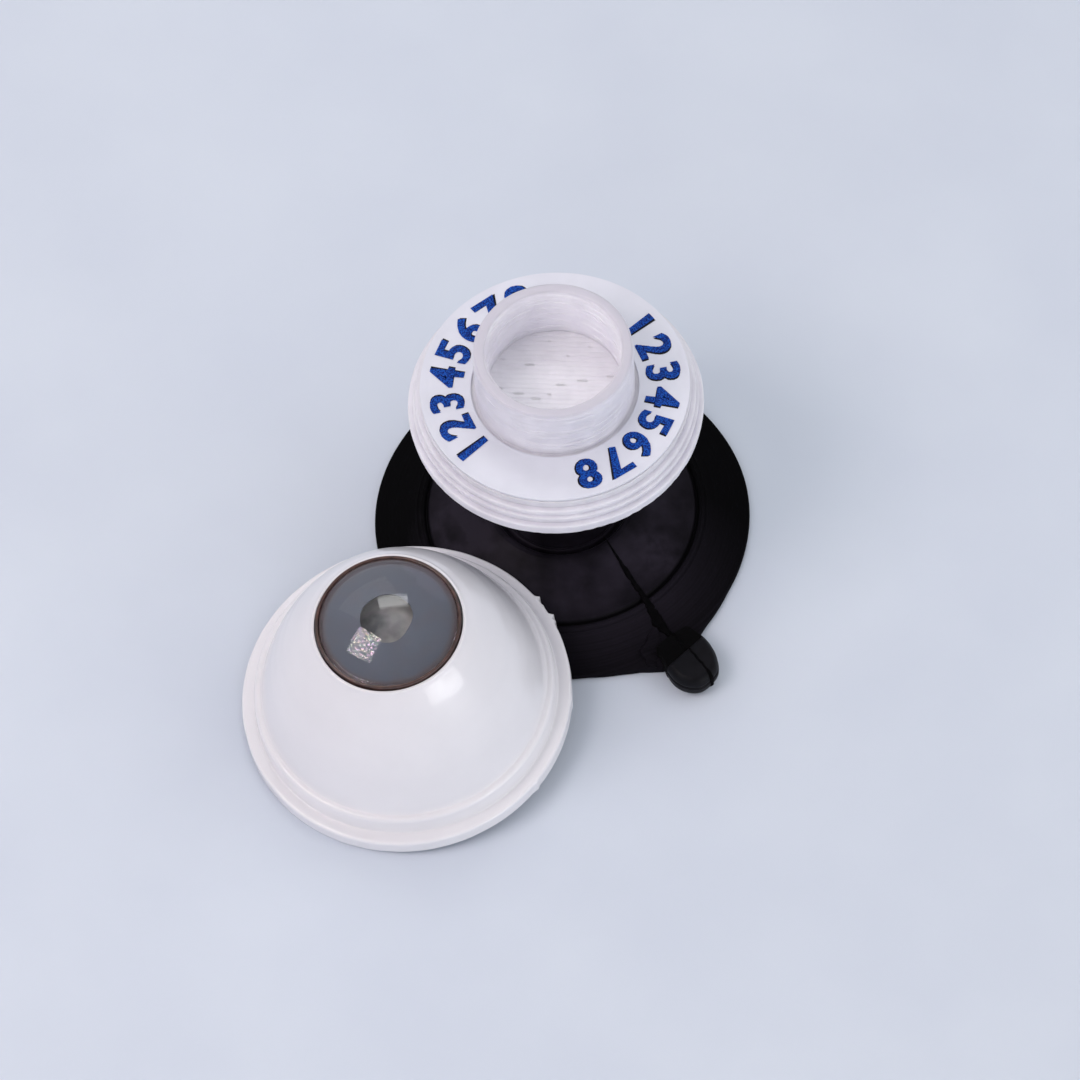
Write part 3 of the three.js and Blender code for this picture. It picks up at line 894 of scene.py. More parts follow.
# %% Lay the film
FILM_PATH = np.array([
    (14.0, -0.35, 0.2), (14.5, -0.8, 0.5), (15.0, -1.35, 0.75), (15.6, -1.95, 0.9),
    (16.2, -2.4, 0.8), (16.8, -2.75, 0.45)])
FILM_RISE = 0.2
FILM_STEPS = 70
film_x = np.linspace(FILM_PATH[0, 0], FILM_PATH[-1, 0], FILM_STEPS)
film_y = np.interp(film_x, FILM_PATH[:, 0], FILM_PATH[:, 1])
film_width = np.interp(film_x, FILM_PATH[:, 0], FILM_PATH[:, 2])
tab_turn = np.array([[cos_tab, sin_tab, 0], [-sin_tab, cos_tab, 0], [0, 0, 1]])
film_bed = on_surface(np.hypot(film_x, film_y), TAB_AZIMUTH + np.arctan2(film_y, film_x))
film_middle = np.column_stack([film_x, film_y, film_bed])
film_side = np.tile([0.75, 0.66, -0.2], (FILM_STEPS, 1))
film_left = film_width * (1 + 0.2 * wander(film_x, 0.3, 24))
film_right = film_width * (1 + 0.25 * wander(film_x, 0.35, 25))
film_up = np.tile([0.25, 0.0, 0.97], (FILM_STEPS, 1))
film_rise = FILM_RISE * (1 + 0.5 * wander(film_x, 0.4, 26))
film = strip(
    "tab_film", film_middle @ tab_turn, film_side @ tab_turn, film_up @ tab_turn,
    film_left, film_right, film_rise, on_cup, rubber, sunk=0.35)
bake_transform(film)

# %% [markdown]
# ## The pull tab
#
# A fingernail lifts the tab to break the suction. It is one lump of rubber: a flat block on the
# skirt's edge, and a rounded thumb outside it with a parting line round its middle. It isn't round or
# square, so its outline from above is drawn through points of its own, as a smooth closed line.

# %% The tab's outline
TAB_START = 15.5
TAB_FLOOR = 0.3
BLOCK_TOP = 2.0
THUMB_TOP = 2.4
TAB_OUTLINE = np.array([
    (15.52, 0.0), (15.62, -0.9), (15.82, -1.55), (16.1, -1.78), (16.8, -1.86), (17.5, -1.98),
    (18.1, -2.18), (18.8, -2.3), (19.5, -2.27), (20.15, -2.05), (20.75, -1.62), (21.15, -1.08),
    (21.28, -0.6), (21.22, 0.1), (21.05, 0.75), (20.8, 1.25), (20.25, 1.7), (19.45, 2.05),
    (18.6, 2.22), (17.8, 2.25), (17.0, 2.1), (16.3, 1.92), (15.8, 1.82), (15.52, 1.62),
    (15.48, 0.9)])
OUTLINE_STEPS = 168


def smooth_loop(corners, steps):
    """A closed line through the corners: Catmull-Rom curves, then points evenly along the way.

    Between P1 and P2, with P0 before and P3 after, the curve at t from 0 to 1 is half of
    2 P1 + (P2 - P0) t + (2 P0 - 5 P1 + 4 P2 - P3) t^2 + (3 P1 - P0 - 3 P2 + P3) t^3.
    """
    p0, p1, p2, p3 = (np.roll(corners, shift, axis=0)[:, None] for shift in (1, 0, -1, -2))
    t = np.linspace(0, 1, 24, endpoint=False)[None, :, None]
    squared = (2 * p0 - 5 * p1 + 4 * p2 - p3) * t**2
    cubed = (3 * p1 - p0 - 3 * p2 + p3) * t**3
    line = (2 * p1 + (p2 - p0) * t + squared + cubed).reshape(-1, 2) / 2
    line = np.vstack([line, line[:1]])
    gone = np.concatenate([[0], np.cumsum(np.hypot(*np.diff(line, axis=0).T))])
    at = np.linspace(0, gone[-1], steps, endpoint=False)
    return np.column_stack([np.interp(at, gone, line[:, 0]), np.interp(at, gone, line[:, 1])])


outline = smooth_loop(TAB_OUTLINE, OUTLINE_STEPS)
print("the tab's outline has", len(outline), "points")

# %% [markdown]
# ## The tab's sides and top
#
# The outline is stacked in levels up the side. Each is pulled in a little, which rounds the edges and
# leaves the parting line proud halfway up. Over the top the outline shrinks to a pole, and the height
# there is a function of the place. One closed skin of this kind shows no seam between block and thumb.


# %% Stack the tab's levels
def tab_top(x, y):
    """Height of the tab's top: the flat block, and past a slanted step the thumb, crowned by a cosine."""
    crowned = THUMB_TOP + 0.08 * np.cos(np.clip((x - 19.5) / 1.8, -1, 1) * math.pi / 2)
    step = smooth_step(x + TAB_STEP_SLANT * y, TAB_STEP - 0.1, TAB_STEP + 0.22)
    block = BLOCK_TOP - 0.35 * (1 - smooth_step(x, TAB_START - 0.1, TAB_START + 0.7))
    return block + (crowned - block) * step


TAB_MIDDLE = np.array([18.2, 0.0])
TAB_LEVELS = np.array([
    (0.0, 0.42), (0.06, 0.2), (0.16, 0.06), (0.3, 0.0), (0.46, 0.0), (0.5, 0.1), (0.54, 0.13),
    (0.58, 0.06), (0.66, 0.05), (0.78, 0.12), (0.88, 0.24), (0.95, 0.38), (1.0, 0.56)])
ahead = np.roll(outline, -1, axis=0) - np.roll(outline, 1, axis=0)
outward_side = np.stack([ahead[:, 1], -ahead[:, 0]], axis=1)
outward_side = outward_side / np.linalg.norm(ahead, axis=1, keepdims=True)
on_thumb = smooth_step(outline @ (1, TAB_STEP_SLANT), TAB_STEP - 0.1, TAB_STEP + 0.3)[:, None]
rows = []
for share, inset in TAB_LEVELS:
    pulled = outline - outward_side * inset * (0.25 + 0.75 * on_thumb)
    top = tab_top(pulled[:, 0], pulled[:, 1])
    rows.append(np.column_stack([pulled, TAB_FLOOR + (top - TAB_FLOOR) * share]))
top_edge = rows[-1][:, :2]
for share in np.linspace(0.95, 0, 24):
    inner = TAB_MIDDLE + (top_edge - TAB_MIDDLE) * share
    rows.append(np.column_stack([inner, tab_top(inner[:, 0], inner[:, 1])]))
bottom = []
for share in (0, 0.5):
    inner = TAB_MIDDLE + (rows[0][:, :2] - TAB_MIDDLE) * share
    bottom.append(np.column_stack([inner, np.full(len(outline), TAB_FLOOR)]))
tab_grid = np.stack(bottom + rows)
tab = skin("pull_tab_rubber", tab_grid @ tab_turn, on_cup, tab_rubber)
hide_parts("pull_tab")
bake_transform(tab)

# %% [markdown]
# ## The tab's own flash
#
# The mould's parting also left a thin line of flash over the thumb and down its end. It is the same
# kind of strip, carried along a path of places out and heights, and it lifts with the tab.

# %% Carry the tab's flash
SEAM_SIDE = 0.3
SEAM_PATH = np.array([
    (15.6, 1.72), (16.3, 2.0), (17.6, 2.0), (17.85, 2.25), (18.05, 2.42), (18.8, 2.47), (19.5, 2.49),
    (20.3, 2.46), (20.7, 2.42), (20.92, 2.33), (21.08, 2.15), (21.16, 1.85), (21.18, 1.4),
    (21.22, 0.9), (21.1, 0.55)])
SEAM_STEPS = 90
SEAM_RISE = 0.06
run = np.concatenate([[0], np.cumsum(np.hypot(*np.diff(SEAM_PATH, axis=0).T))])
at = np.linspace(0, run[-1], SEAM_STEPS)
seam_x, seam_z = np.interp(at, run, SEAM_PATH[:, 0]), np.interp(at, run, SEAM_PATH[:, 1])
slope_x, slope_z = np.gradient(seam_x), np.gradient(seam_z)
slope_run = np.hypot(slope_x, slope_z)
seam_middle = np.column_stack([seam_x, SEAM_SIDE + 0.05 * wander(at, 0.9, 33), seam_z])
seam_up = np.column_stack([-slope_z / slope_run, 0 * at, slope_x / slope_run])
seam_side = np.tile([0.0, 1.0, 0.0], (SEAM_STEPS, 1))
seam_half = np.interp(seam_x, [15.6, 20.6, 21.2], [0.1, 0.1, 0.24]) * (1 + 0.35 * wander(at, 0.25, 34))
seam = strip(
    "tab_flash", seam_middle @ tab_turn, seam_side @ tab_turn, seam_up @ tab_turn,
    seam_half, seam_half[::-1], SEAM_RISE + 0 * at, on_cup, flash_rubber)
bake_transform(seam)

# %% [markdown]
# ## Filament print
#
# The stand and its post were printed in white plastic, layer on layer. Each layer bulges a little and
# lies a little in or out of line, and the floor of the tube shows the parallel lines of its last
# layer. These are shapes, so they are in the meshes. The shader gives the satin white of the
# filament, with a faint lilac shade as in the photograph.

# %% Print finish
TUBE_TOP = 26.65
PAINTED_LIGHT_INSIDE = (5.75, 6.0)
UPRIGHT = (0.0, 0.0, 1.0)


def print_finish(name, subsurface):
    """White filament, with painted light inside the tube and painted shade on the tube's rim."""
    settings = {"Roughness": 0.38, "Specular IOR Level": 0.45}
    material, tree, shader, where = start_finish(name, "#D9D8E0", settings)
    shader.inputs["Subsurface Weight"].default_value = subsurface
    shader.inputs["Subsurface Scale"].default_value = 0.001
    shader.inputs["Subsurface Radius"].default_value = (1.0, 0.98, 1.04)
    # painted light: the inside of the tube is painted paler; painted shade: the rim's top is painted
    # darker
    inside = by_distance(tree, where, cup_base, *PAINTED_LIGHT_INSIDE, 0.42, 0.0, LEVEL)
    rim = by_distance(tree, where, (0, 0, TUBE_TOP), 0.1, 0.4, 0.75, 0.0, UPRIGHT)
    uneven = cloud(tree, where, 1.6, 0.35, 0.65, 0.46, 0.64)
    rim_painted_shade = between_values(tree, rim, 0.0, 1.0, 1.0, 0.0)
    light = product(tree, added(tree, inside, uneven), rim_painted_shade)
    tree.links.new(two_colours(tree, light, "#BEBCC6", "#EFEEF4"), shader.inputs["Base Color"])
    grain_bump(tree, shader, where, 0.15, 0.006)
    return material


print_white = print_finish("white filament print", 0.7)
print_floor = print_finish("white filament print, tube floor", 0.15)
print(print_white.name, "and", print_floor.name)

# %% [markdown]
# ## The stand
#
# The stand is a flange, a step, a shoulder, a disc and an open tube, one above the other. All are
# round, so one section makes them. Points are added all the way along it for the layers to come, and
# most are taken out again where it runs level.

# %% The stand's section
FLANGE_BASE = 17.5
STEP_BASE = 18.65
SHOULDER_BASE = 19.35
DISC_BASE = 20.05
DECK = 20.9
TUBE_OUTER = 6.65
TUBE_INNER = 5.65
SOCKET_RADIUS = 3.3
SOCKET_TOP = 19.2
TUBE_FLOOR = DECK - 0.05
FINE_STEP = 0.05
LEVEL_STEP = 0.6
stand_line = with_steps(rounded([
    (0, SOCKET_TOP, 0), (SOCKET_RADIUS, SOCKET_TOP, 0.05), (SOCKET_RADIUS, FLANGE_BASE, 0.1),
    (12.25, FLANGE_BASE, 0.1), (12.38, STEP_BASE, 0.2), (11.85, STEP_BASE, 0.06),
    (11.98, SHOULDER_BASE, 0.13), (11.66, SHOULDER_BASE, 0.05), (11.78, DISC_BASE, 0.24),
    (11.26, DISC_BASE, 0.06), (11.38, DECK, 0.1), (TUBE_OUTER, DECK, 0.12),
    (TUBE_OUTER, TUBE_TOP, 0.42), (TUBE_INNER, TUBE_TOP, 0.42), (TUBE_INNER, TUBE_FLOOR, 0.12),
    (0, TUBE_FLOOR, 0)]), FINE_STEP)


def thin_out(line, spacing):
    """Fewer points on the level runs of a section, where there are no layers to show."""
    steps = np.abs(np.diff(line, axis=0))
    level = np.concatenate([[False], steps[:, 1] < 1e-4])
    crowded = level & (np.arange(len(line)) % round(spacing / FINE_STEP) != 0)
    crowded[[0, -1]] = False
    return line[~crowded]


stand_line = thin_out(stand_line, LEVEL_STEP)
print("the stand's section has", len(stand_line), "points")

# %% [markdown]
# ## Printed layers
#
# Each layer of the print is a rounded bead, and the nozzle never lays two beads quite in line. Both
# are moves of the upright faces in and out, so they come from one function of height and direction.

# %% Layers as a function
LAYER = 0.27
LAYER_COUNT = 60


def layered(height, angle, seed, depth=0.035, uneven=0.03, knots_round=34):
    """How far each layer's face lies inwards: a rounded bead every LAYER, and each out of line.

    The bead is depth times one minus the root of 1 - (2s - 1)^2, with s from 0 to 1 up the layer. How
    far a layer is out of line is random at the knots round it, and joined by half cosine waves.
    """
    level = height / LAYER + 0.16 * round_wander(angle, 4, seed + 1)
    number = np.floor(level).astype(int) % LAYER_COUNT
    share = level - np.floor(level)
    bead = -depth * (1 - np.sqrt(np.clip(1 - (2 * share - 1) ** 2, 0, 1)))
    knots = np.random.default_rng(seed).normal(0, uneven, (LAYER_COUNT, knots_round))
    place = (angle % (2 * math.pi)) / (2 * math.pi) * knots_round
    first = np.floor(place).astype(int) % knots_round
    share_round = (1 - np.cos(math.pi * (place - np.floor(place)))) / 2
    number, first, share_round = np.broadcast_arrays(number, first, share_round)
    here, following = knots[number, first], knots[number, (first + 1) % knots_round]
    return bead + here * (1 - share_round) + following * share_round


print("a layer is", LAYER, "millimetres high")

# %% [markdown]
# ## The stand's surface
#
# The layers are strong on the tube and faint on the steps, as in the photograph. The flange's lower
# edge carries small burrs, and most of them are at the front right.

# %% Turn the stand
STAND_COLUMNS = 216
BURR_AZIMUTH = 315
around = angles(STAND_COLUMNS)
line_steps = np.gradient(stand_line, axis=0)
upright = np.abs(line_steps[:, 1]) / (np.linalg.norm(line_steps, axis=1) + 1e-9)
facing = np.sign(line_steps[:, 1])
radius, height = stand_line[:, :1], stand_line[:, 1:]
shown = (radius > 4) * (upright[:, None] > 0.7)
tube_print = layered(height, around, 41, knots_round=15)
step_print = layered(height, around, 44, depth=0.016, uneven=0.006)
radius = radius + facing[:, None] * np.where(radius < 7, tube_print, step_print) * shown
burr_depth = bump(height, FLANGE_BASE, 0.2) * smooth_step(radius, 12.0, 12.3)
turned_right = bump(np.degrees(around), BURR_AZIMUTH, 45)
fine_burr = np.abs(wander(around, 0.028, 42)) ** 3 * (0.3 + turned_right)
radius = radius - 0.05 * burr_depth * fine_burr
height = height + 0.14 * burr_depth * fine_burr
stand = skin("printed_stand", turned(radius, height, around), on_cup, print_white)
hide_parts("tube_stand")
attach(stand, "stand")

# %% [markdown]
# ## The floor of the tube
#
# The nozzle laid the floor in straight lines 0.48 mm apart. Each is a low ridge that fades here and
# there, and between some of them a short gap stayed open. The disc is a grid: one parameter runs
# across the lines, the other along each line's chord.

# %% Lay the lines
FLOOR_RADIUS = 5.63
FLOOR_THICKNESS = 0.25
LINE_PITCH = 0.48
LINE_AZIMUTH = math.radians(-6)
LINE_HEIGHT = 0.04
ACROSS_STEPS = 300
CHORD_STEPS = 90
sweep = np.linspace(-math.pi / 2, math.pi / 2, ACROSS_STEPS)[:, None]
across_lines = FLOOR_RADIUS * np.sin(sweep) * np.ones((1, CHORD_STEPS))
chord = FLOOR_RADIUS * np.cos(sweep)
share = np.linspace(-1, 1, CHORD_STEPS)[None, :]
along_lines = chord * share
phase = across_lines / LINE_PITCH
ridge = 1 - np.exp(-((np.cos(math.pi * phase) / 0.42) ** 2))
line_number = np.round(phase - 0.5).astype(int) + 40
gap_source = np.random.default_rng(51)
gap = 0
for _ in range(2):
    gap_place = gap_source.uniform(-6, 6, 90)[line_number]
    gap_length = gap_source.uniform(-0.1, 0.45, 90)[line_number]
    gap = gap + smooth_step(gap_length - np.abs(along_lines - gap_place), 0, 0.12)
between = 1 - ridge
lines_top = DECK + LINE_HEIGHT * (ridge - 1) - 0.22 * between * gap + 0.01 * wander(along_lines, 1.1, 52)
lines_top = np.where(np.abs(share) > 0.995, DECK - 0.02, lines_top)
lines_under = np.full_like(lines_top, DECK - FLOOR_THICKNESS)
top_side = np.stack([along_lines, across_lines, lines_top], axis=-1)
under_side = np.stack([along_lines, across_lines, lines_under], axis=-1)
disc_grid = np.concatenate([top_side, under_side[:, ::-1]], axis=1)
disc_grid[[0, -1]] = disc_grid[[0, -1]].mean(axis=1, keepdims=True)
cos_line, sin_line = math.cos(LINE_AZIMUTH), math.sin(LINE_AZIMUTH)
line_turn = np.array([[cos_line, sin_line, 0], [-sin_line, cos_line, 0], [0, 0, 1]])
tube_floor = skin("tube_floor_lines", disc_grid[::-1] @ line_turn, on_cup, print_floor)
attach(tube_floor, "stand")

# %% [markdown]
# ## The post
#
# The sleeve that snaps over the rubber knob is hidden from the photograph's side, but shows from
# below. A peg on its top sits in the stand's socket. It is printed like the stand, so the same layers
# move its outer face.

# %% Turn the post
POST_BASE = 11.5
POST_RADIUS = 5.8
PEG_RADIUS = 3.0
PEG_TOP = 18.9
BORE_RADIUS = 4.3
BORE_TOP = 16.6
LIP_RADIUS = 3.5
LIP_TOP = 12.6
post_line = with_steps(rounded([
    (LIP_RADIUS, POST_BASE, 0.1), (POST_RADIUS, POST_BASE, 0.25), (POST_RADIUS, FLANGE_BASE, 0.1),
    (PEG_RADIUS, FLANGE_BASE, 0.1), (PEG_RADIUS, PEG_TOP, 0.1), (0, PEG_TOP, 0), (0, BORE_TOP, 0),
    (BORE_RADIUS, BORE_TOP, 0.1), (BORE_RADIUS, LIP_TOP, 0.1), (LIP_RADIUS, LIP_TOP, 0.1),
    (LIP_RADIUS, POST_BASE + 0.01, 0)]), FINE_STEP)
post_line = thin_out(post_line, LEVEL_STEP)
around = angles(160)
radius, height = post_line[:, :1], post_line[:, 1:]
radius = radius + layered(height, around, 61) * (radius > 5.7) * (height > 11.7) * (height < 17.4)
post = skin("printed_post", turned(radius, height, around), on_cup, print_white, rows_close=True)
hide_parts("stand_post")
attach(post, "stand")

# %% [markdown]
# ## The label
#
# A ring of coated paper lies round the tube. Its coating makes it smoother and a little bluer than
# the print. Where the glue let go, its outer edge curls up by as much as a fifth of a millimetre. Each
# curl is a direction in degrees, a width in degrees and a height.

# %% Label finish
paper, tree, shader, where = start_finish(
    "coated label paper", "#D8DAE4", {"Roughness": 0.35, "Specular IOR Level": 0.4}
)
mottle(tree, shader.inputs["Base Color"], where, "#D6D8E2", "#DADCE6", 2.5)
grain_bump(tree, shader, where, 0.3, 0.003)
print(paper.name, "ready")

# %% [markdown]
# ## The label's ring
#
# A flat ring is a turned section that closes on itself. The curls are added to its height, more
# towards the edge.

# %% Turn the label
LABEL_INNER = 7.0
LABEL_OUTER = 11.25
LABEL_THICKNESS = 0.2
label_line = with_steps(rounded([
    (LABEL_INNER, DECK + 0.01, 0.03), (LABEL_OUTER, DECK + 0.01, 0.03),
    (LABEL_OUTER, DECK + LABEL_THICKNESS, 0.03), (LABEL_INNER, DECK + LABEL_THICKNESS, 0.03)]), 0.25)
around = angles(200)
radius, height = label_line[:, :1], label_line[:, 1:]
CURLS = ((8, 9, 0.2), (-60, 25, 0.07), (150, 30, 0.06), (215, 12, 0.05))
CURL_START = 10.5
lift = 0.04
for azimuth, width, size in CURLS:
    from_curl = (np.degrees(around) - azimuth + 180) % 360 - 180
    lift = lift + size * bump(from_curl, 0, width)
curl = smooth_step(radius, CURL_START, LABEL_OUTER) * lift
label = skin("paper_label", turned(radius, height + curl, around), on_cup, paper, rows_close=True)
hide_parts("label_ring")
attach(label, "stand")

# %% [markdown]
# ## The numerals
#
# Two arcs of plain blue numerals run round the label, each with a thin black edge on one side where
# the two inks don't quite meet. Ink on coated paper is dull and mottled, so both inks are.

# %% Ink finishes
INK = {"Roughness": 0.6, "Specular IOR Level": 0.15}
blue_ink, tree, shader, where = start_finish("printed ink, blue", "#0E3C92", INK)
mottle(tree, shader.inputs["Base Color"], where, "#051C62", "#1858BC", 0.12, 0.42, 0.62)
black_ink, tree, shader, where = start_finish("printed ink, black", "#101014", INK)
mottle(tree, shader.inputs["Base Color"], where, "#09090C", "#1B1B24", 0.16)
print(blue_ink.name, "and", black_ink.name, "ready")

# %% [markdown]
# ## A numeral's shape
#
# Blender's own font needs no file. A numeral is made with it as a text curve, read once as a flat
# mesh, and thrown away again, so that only its points and triangles are left to work with.

# %% Read a numeral
NUMERAL_HEIGHT = 2.9


def numeral_mesh(text):
    """A numeral's flat shape from the built-in font: points (N, 2), middle at 0, and its triangles."""
    curve = bpy.data.curves.new("numeral", "FONT")
    curve.body = text
    curve.offset = 0.03
    curve.resolution_u = 12
    carrier = bpy.data.objects.new("numeral", curve)
    bpy.context.scene.collection.objects.link(carrier)
    bpy.context.view_layer.update()
    flat = bpy.data.meshes.new_from_object(carrier.evaluated_get(bpy.context.evaluated_depsgraph_get()))
    flat.calc_loop_triangles()
    points = mesh_points(flat)[:, :2]
    triangles = np.empty(len(flat.loop_triangles) * 3, np.int32)
    flat.loop_triangles.foreach_get("vertices", triangles)
    triangles = triangles.reshape(-1, 3)
    bpy.data.objects.remove(carrier)
    bpy.data.curves.remove(curve)
    bpy.data.meshes.remove(flat)
    low, high = points.min(axis=0), points.max(axis=0)
    return (points - (low + high) / 2) / (high[1] - low[1]) * NUMERAL_HEIGHT, triangles


print("numerals are", NUMERAL_HEIGHT, "millimetres high")

# %% [markdown]
# ## Printing the numerals
#
# Each numeral becomes a slab two hundredths of a millimetre thick and is bent round the label: its
# width runs along the arc and its height along the radius. Its outline is moved a little at random,
# because the print's edges are ragged. The black ones lie under the blue ones, shifted to one side.

# %% Bend the numerals round the label
RAGGED = 0.018
NUMERAL_RADIUS = 9.1
NUMERAL_PITCH = 16.0
NUMERALS = 8
INK_THICKNESS = 0.02
ARC_STARTS = (-141.0, 37.0)


def printed_numbers(name, shift, lift, material):
    """All the numerals as one thin mesh: each shape, its back face and the rim between them.

    A point (x, y) of a numeral goes to the direction start - pitch * place - x / radius and to the
    radius plus y. The rim joins the edges that only one triangle uses.
    """
    points, faces, count = [], [], 0
    ragged = np.random.default_rng(len(name))
    for start in ARC_STARTS:
        for place in range(NUMERALS):
            shape, triangles = numeral_mesh(str(place + 1))
            shape = shape + shift + ragged.uniform(-RAGGED, RAGGED, shape.shape)
            angle = math.radians(start - NUMERAL_PITCH * place) - shape[:, 0] / NUMERAL_RADIUS
            radius = NUMERAL_RADIUS + shape[:, 1]
            for base in (lift + INK_THICKNESS, lift):
                points.append(turned(radius, DECK + LABEL_THICKNESS + base, angle))
            edges = np.vstack([triangles[:, [0, 1]], triangles[:, [1, 2]], triangles[:, [2, 0]]])
            key = np.sort(edges, axis=1) @ np.array([100000, 1])
            _, first, times = np.unique(key, return_index=True, return_counts=True)
            rim = edges[first[times == 1]]
            size = len(shape)
            sides = np.stack([rim[:, 1], rim[:, 0], rim[:, 0] + size, rim[:, 1] + size], axis=1)
            faces += (triangles + count).tolist()
            faces += (triangles[:, ::-1] + count + size).tolist()
            faces += (sides + count).tolist()
            count += 2 * size
    mesh = bpy.data.meshes.new(name)
    mesh.from_pydata((on_cup(np.vstack(points)) * MM).tolist(), [], faces)
    mesh.materials.append(material)
    thing = bpy.data.objects.new(name, mesh)
    bpy.context.scene.collection.objects.link(thing)
    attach(thing, "stand")
    print(name, count, "points")


printed_numbers("numerals_shadow", (0.15, -0.03), 0.005, black_ink)
printed_numbers("numerals_blue", (0.0, 0.0), 0.03, blue_ink)

# %% [markdown]
# ## The eye shell
#
# The white of the eye is formed from one glossy sheet of styrene. Its skin came off a polished mould,
# so it mirrors the lamps sharply, while the plastic under it lets a little light in. A coat over a
# duller base gives both.

# %% Shell finish
gloss_white, tree, shader, where = start_finish(
    "glossy formed styrene sheet", "#E3E2E6",
    {"Roughness": 0.3, "Specular IOR Level": 0.5, "Coat Weight": 0.5, "Coat Roughness": 0.04,
     "Subsurface Weight": 0.1, "Subsurface Scale": 0.0008},
)
mottle(tree, shader.inputs["Base Color"], where, "#E1E0E4", "#E5E4E8", 6.0)
shader.inputs["Subsurface Radius"].default_value = (1.0, 0.97, 1.0)
grain_bump(tree, shader, where, 0.9, 0.002)
print(gloss_white.name, "ready")

# %% [markdown]
# ## The shell's section
#
# From the outside in, the sheet makes a brim, a ledge, a short wall, a foot ledge and the dome, with a
# recess at the top for the cornea. It drew over its mould with soft corners and faint rings, which are
# small moves of the dome's line.

# %% Join the shell's section
BRIM_RADIUS = 13.9
BRIM_HEIGHT = 1.5
BRIM_INNER = 13.3
BRIM_CEILING = 0.9
DOME_RADIUS = 12.0
DOME_FOOT = 3.35
FOOT_LEDGE = DOME_FOOT + 0.02
DOME_BULGE = 0.66
RECESS_RADIUS = 6.35
RECESS_TOP = 15.0
RECESS_WALL = 6.17
LAND = 14.0
MOUTH_RADIUS = 4.9
SHEET = 0.6


def dome_line(inset, steps):
    """The dome from foot to recess: a straight line bulged outwards by a parabola, moved inwards."""
    share = np.linspace(0, 1, steps)
    run, rise = RECESS_RADIUS - DOME_RADIUS, RECESS_TOP - DOME_FOOT
    length = math.hypot(run, rise)
    out = 4 * DOME_BULGE * share * (1 - share) - inset
    radius = DOME_RADIUS + run * share + out * rise / length
    height = DOME_FOOT + rise * share - out * run / length
    return np.stack([radius, height], axis=1)


def as_corner(point):
    """A point of a line as a corner that stays sharp."""
    return (*point, 0)


outside = dome_line(0, 158)
forming = 0.012 + 0.014 * smooth_step(outside[:, 1], 10.5, 14.0)
outside = outside + np.stack([forming * wander(outside[:, 1], 0.8, 71), np.zeros(len(outside))], axis=1)
inside = dome_line(SHEET, 26)[::-1]
inside = inside[(inside[:, 1] < LAND - SHEET - 0.1) & (inside[:, 1] > DOME_FOOT - 0.2)]
lower = rounded([
    (BRIM_INNER, 0, 0), (13.45, 0, 0.05), (BRIM_RADIUS, 0, 0.12), (BRIM_RADIUS, BRIM_HEIGHT, 0.32),
    (12.77, BRIM_HEIGHT, 0.18), (12.62, FOOT_LEDGE, 0.42), (12.05, FOOT_LEDGE, 0.14),
    as_corner(outside[5])], 7)
upper = rounded([
    as_corner(outside[-6]), (6.4, RECESS_TOP, 0.1), (RECESS_WALL, 15.04, 0.06), (6.16, LAND, 0.08),
    (MOUTH_RADIUS, LAND, 0.12), (MOUTH_RADIUS, LAND - SHEET, 0.12),
    (inside[0, 0] - 0.3, LAND - SHEET, 0.15), as_corner(inside[0])])
under = rounded([
    as_corner(inside[-1]), (11.58, 2.78, 0.1), (12.0, 2.75, 0.1), (12.15, BRIM_CEILING, 0.15),
    (BRIM_INNER, BRIM_CEILING, 0.1), (BRIM_INNER, 0.02, 0)])
shell_line = np.vstack([
    with_steps(lower, 0.17), outside[6:-6], with_steps(upper, 0.22), inside[1:-1],
    with_steps(under, 0.4)])
print("the shell's section has", len(shell_line), "points")

# %% [markdown]
# ## The shell's surface
#
# The formed sheet isn't quite round, and the trimmed brim is a little ragged and kept a few burrs. Each
# burr is a direction in degrees, how far it stands out and its width in degrees. All of them only move
# points along the radius, so the skin stays closed.

# %% Turn the shell
SHELL_COLUMNS = 300
BURRS = (
    (162, 0.30, 0.8), (153.5, 0.34, 0.7), (151, 0.22, 0.5), (158, 0.12, 0.5), (86, 0.16, 0.7),
    (120, 0.06, 1.6))
around = angles(SHELL_COLUMNS)
radius, height = shell_line[:, :1], shell_line[:, 1:]
on_brim = smooth_step(radius, 13.5, 13.85) * (1 - smooth_step(height, 1.25, 1.65))
ragged = sum(size * bump(np.degrees(around), azimuth, width) for azimuth, size, width in BURRS)
trim = 0.015 * round_wander(around, 40, 72)
wave = 0.03 * round_wander(around, 5, 73) * smooth_step(height, 4, 9)
radius = radius + on_brim * (ragged - 0.02 + trim) + wave
shell_grid = turned(radius, height, around)
shell = skin("formed_eye_shell", shell_grid, on_eye, gloss_white, rows_close=True)
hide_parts("eye_shell")
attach(shell, "eye")

# %% [markdown]
# ## The ring round the cornea
#
# A thin ring, lacquered copper-brown, frames the cornea. Its top is rounded, so it catches a light
# line, and the rest stays dark. It nearly fills the shell's recess, as in the photograph.

# %% Turn the ring
RING_INNER = 5.8
RING_OUTER = 6.07
RING_BASE = 14.25
brown, tree, shader, where = start_finish(
    "copper-brown lacquered ring", "#432A24", {"Roughness": 0.3, "Metallic": 0.1, "Coat Weight": 0.4}
)
mottle(tree, shader.inputs["Base Color"], where, "#35211C", "#51342C", 0.8)
grain_bump(tree, shader, where, 0.25, 0.004)
ring_line = rounded([
    (RING_INNER, RING_BASE, 0.04), (RING_OUTER, RING_BASE, 0.04), (RING_OUTER, 15.42, 0.14),
    (RING_INNER, 15.4, 0.11)], 9)
ring_line = with_steps(np.vstack([ring_line, ring_line[:1]]), 0.1)[:-1]
ring_grid = turned(ring_line[:, :1], ring_line[:, 1:], angles(256))
ring = skin("limbus_rim", ring_grid, on_eye, brown, rows_close=True)
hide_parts("limbus_ring")
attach(ring, "eye")

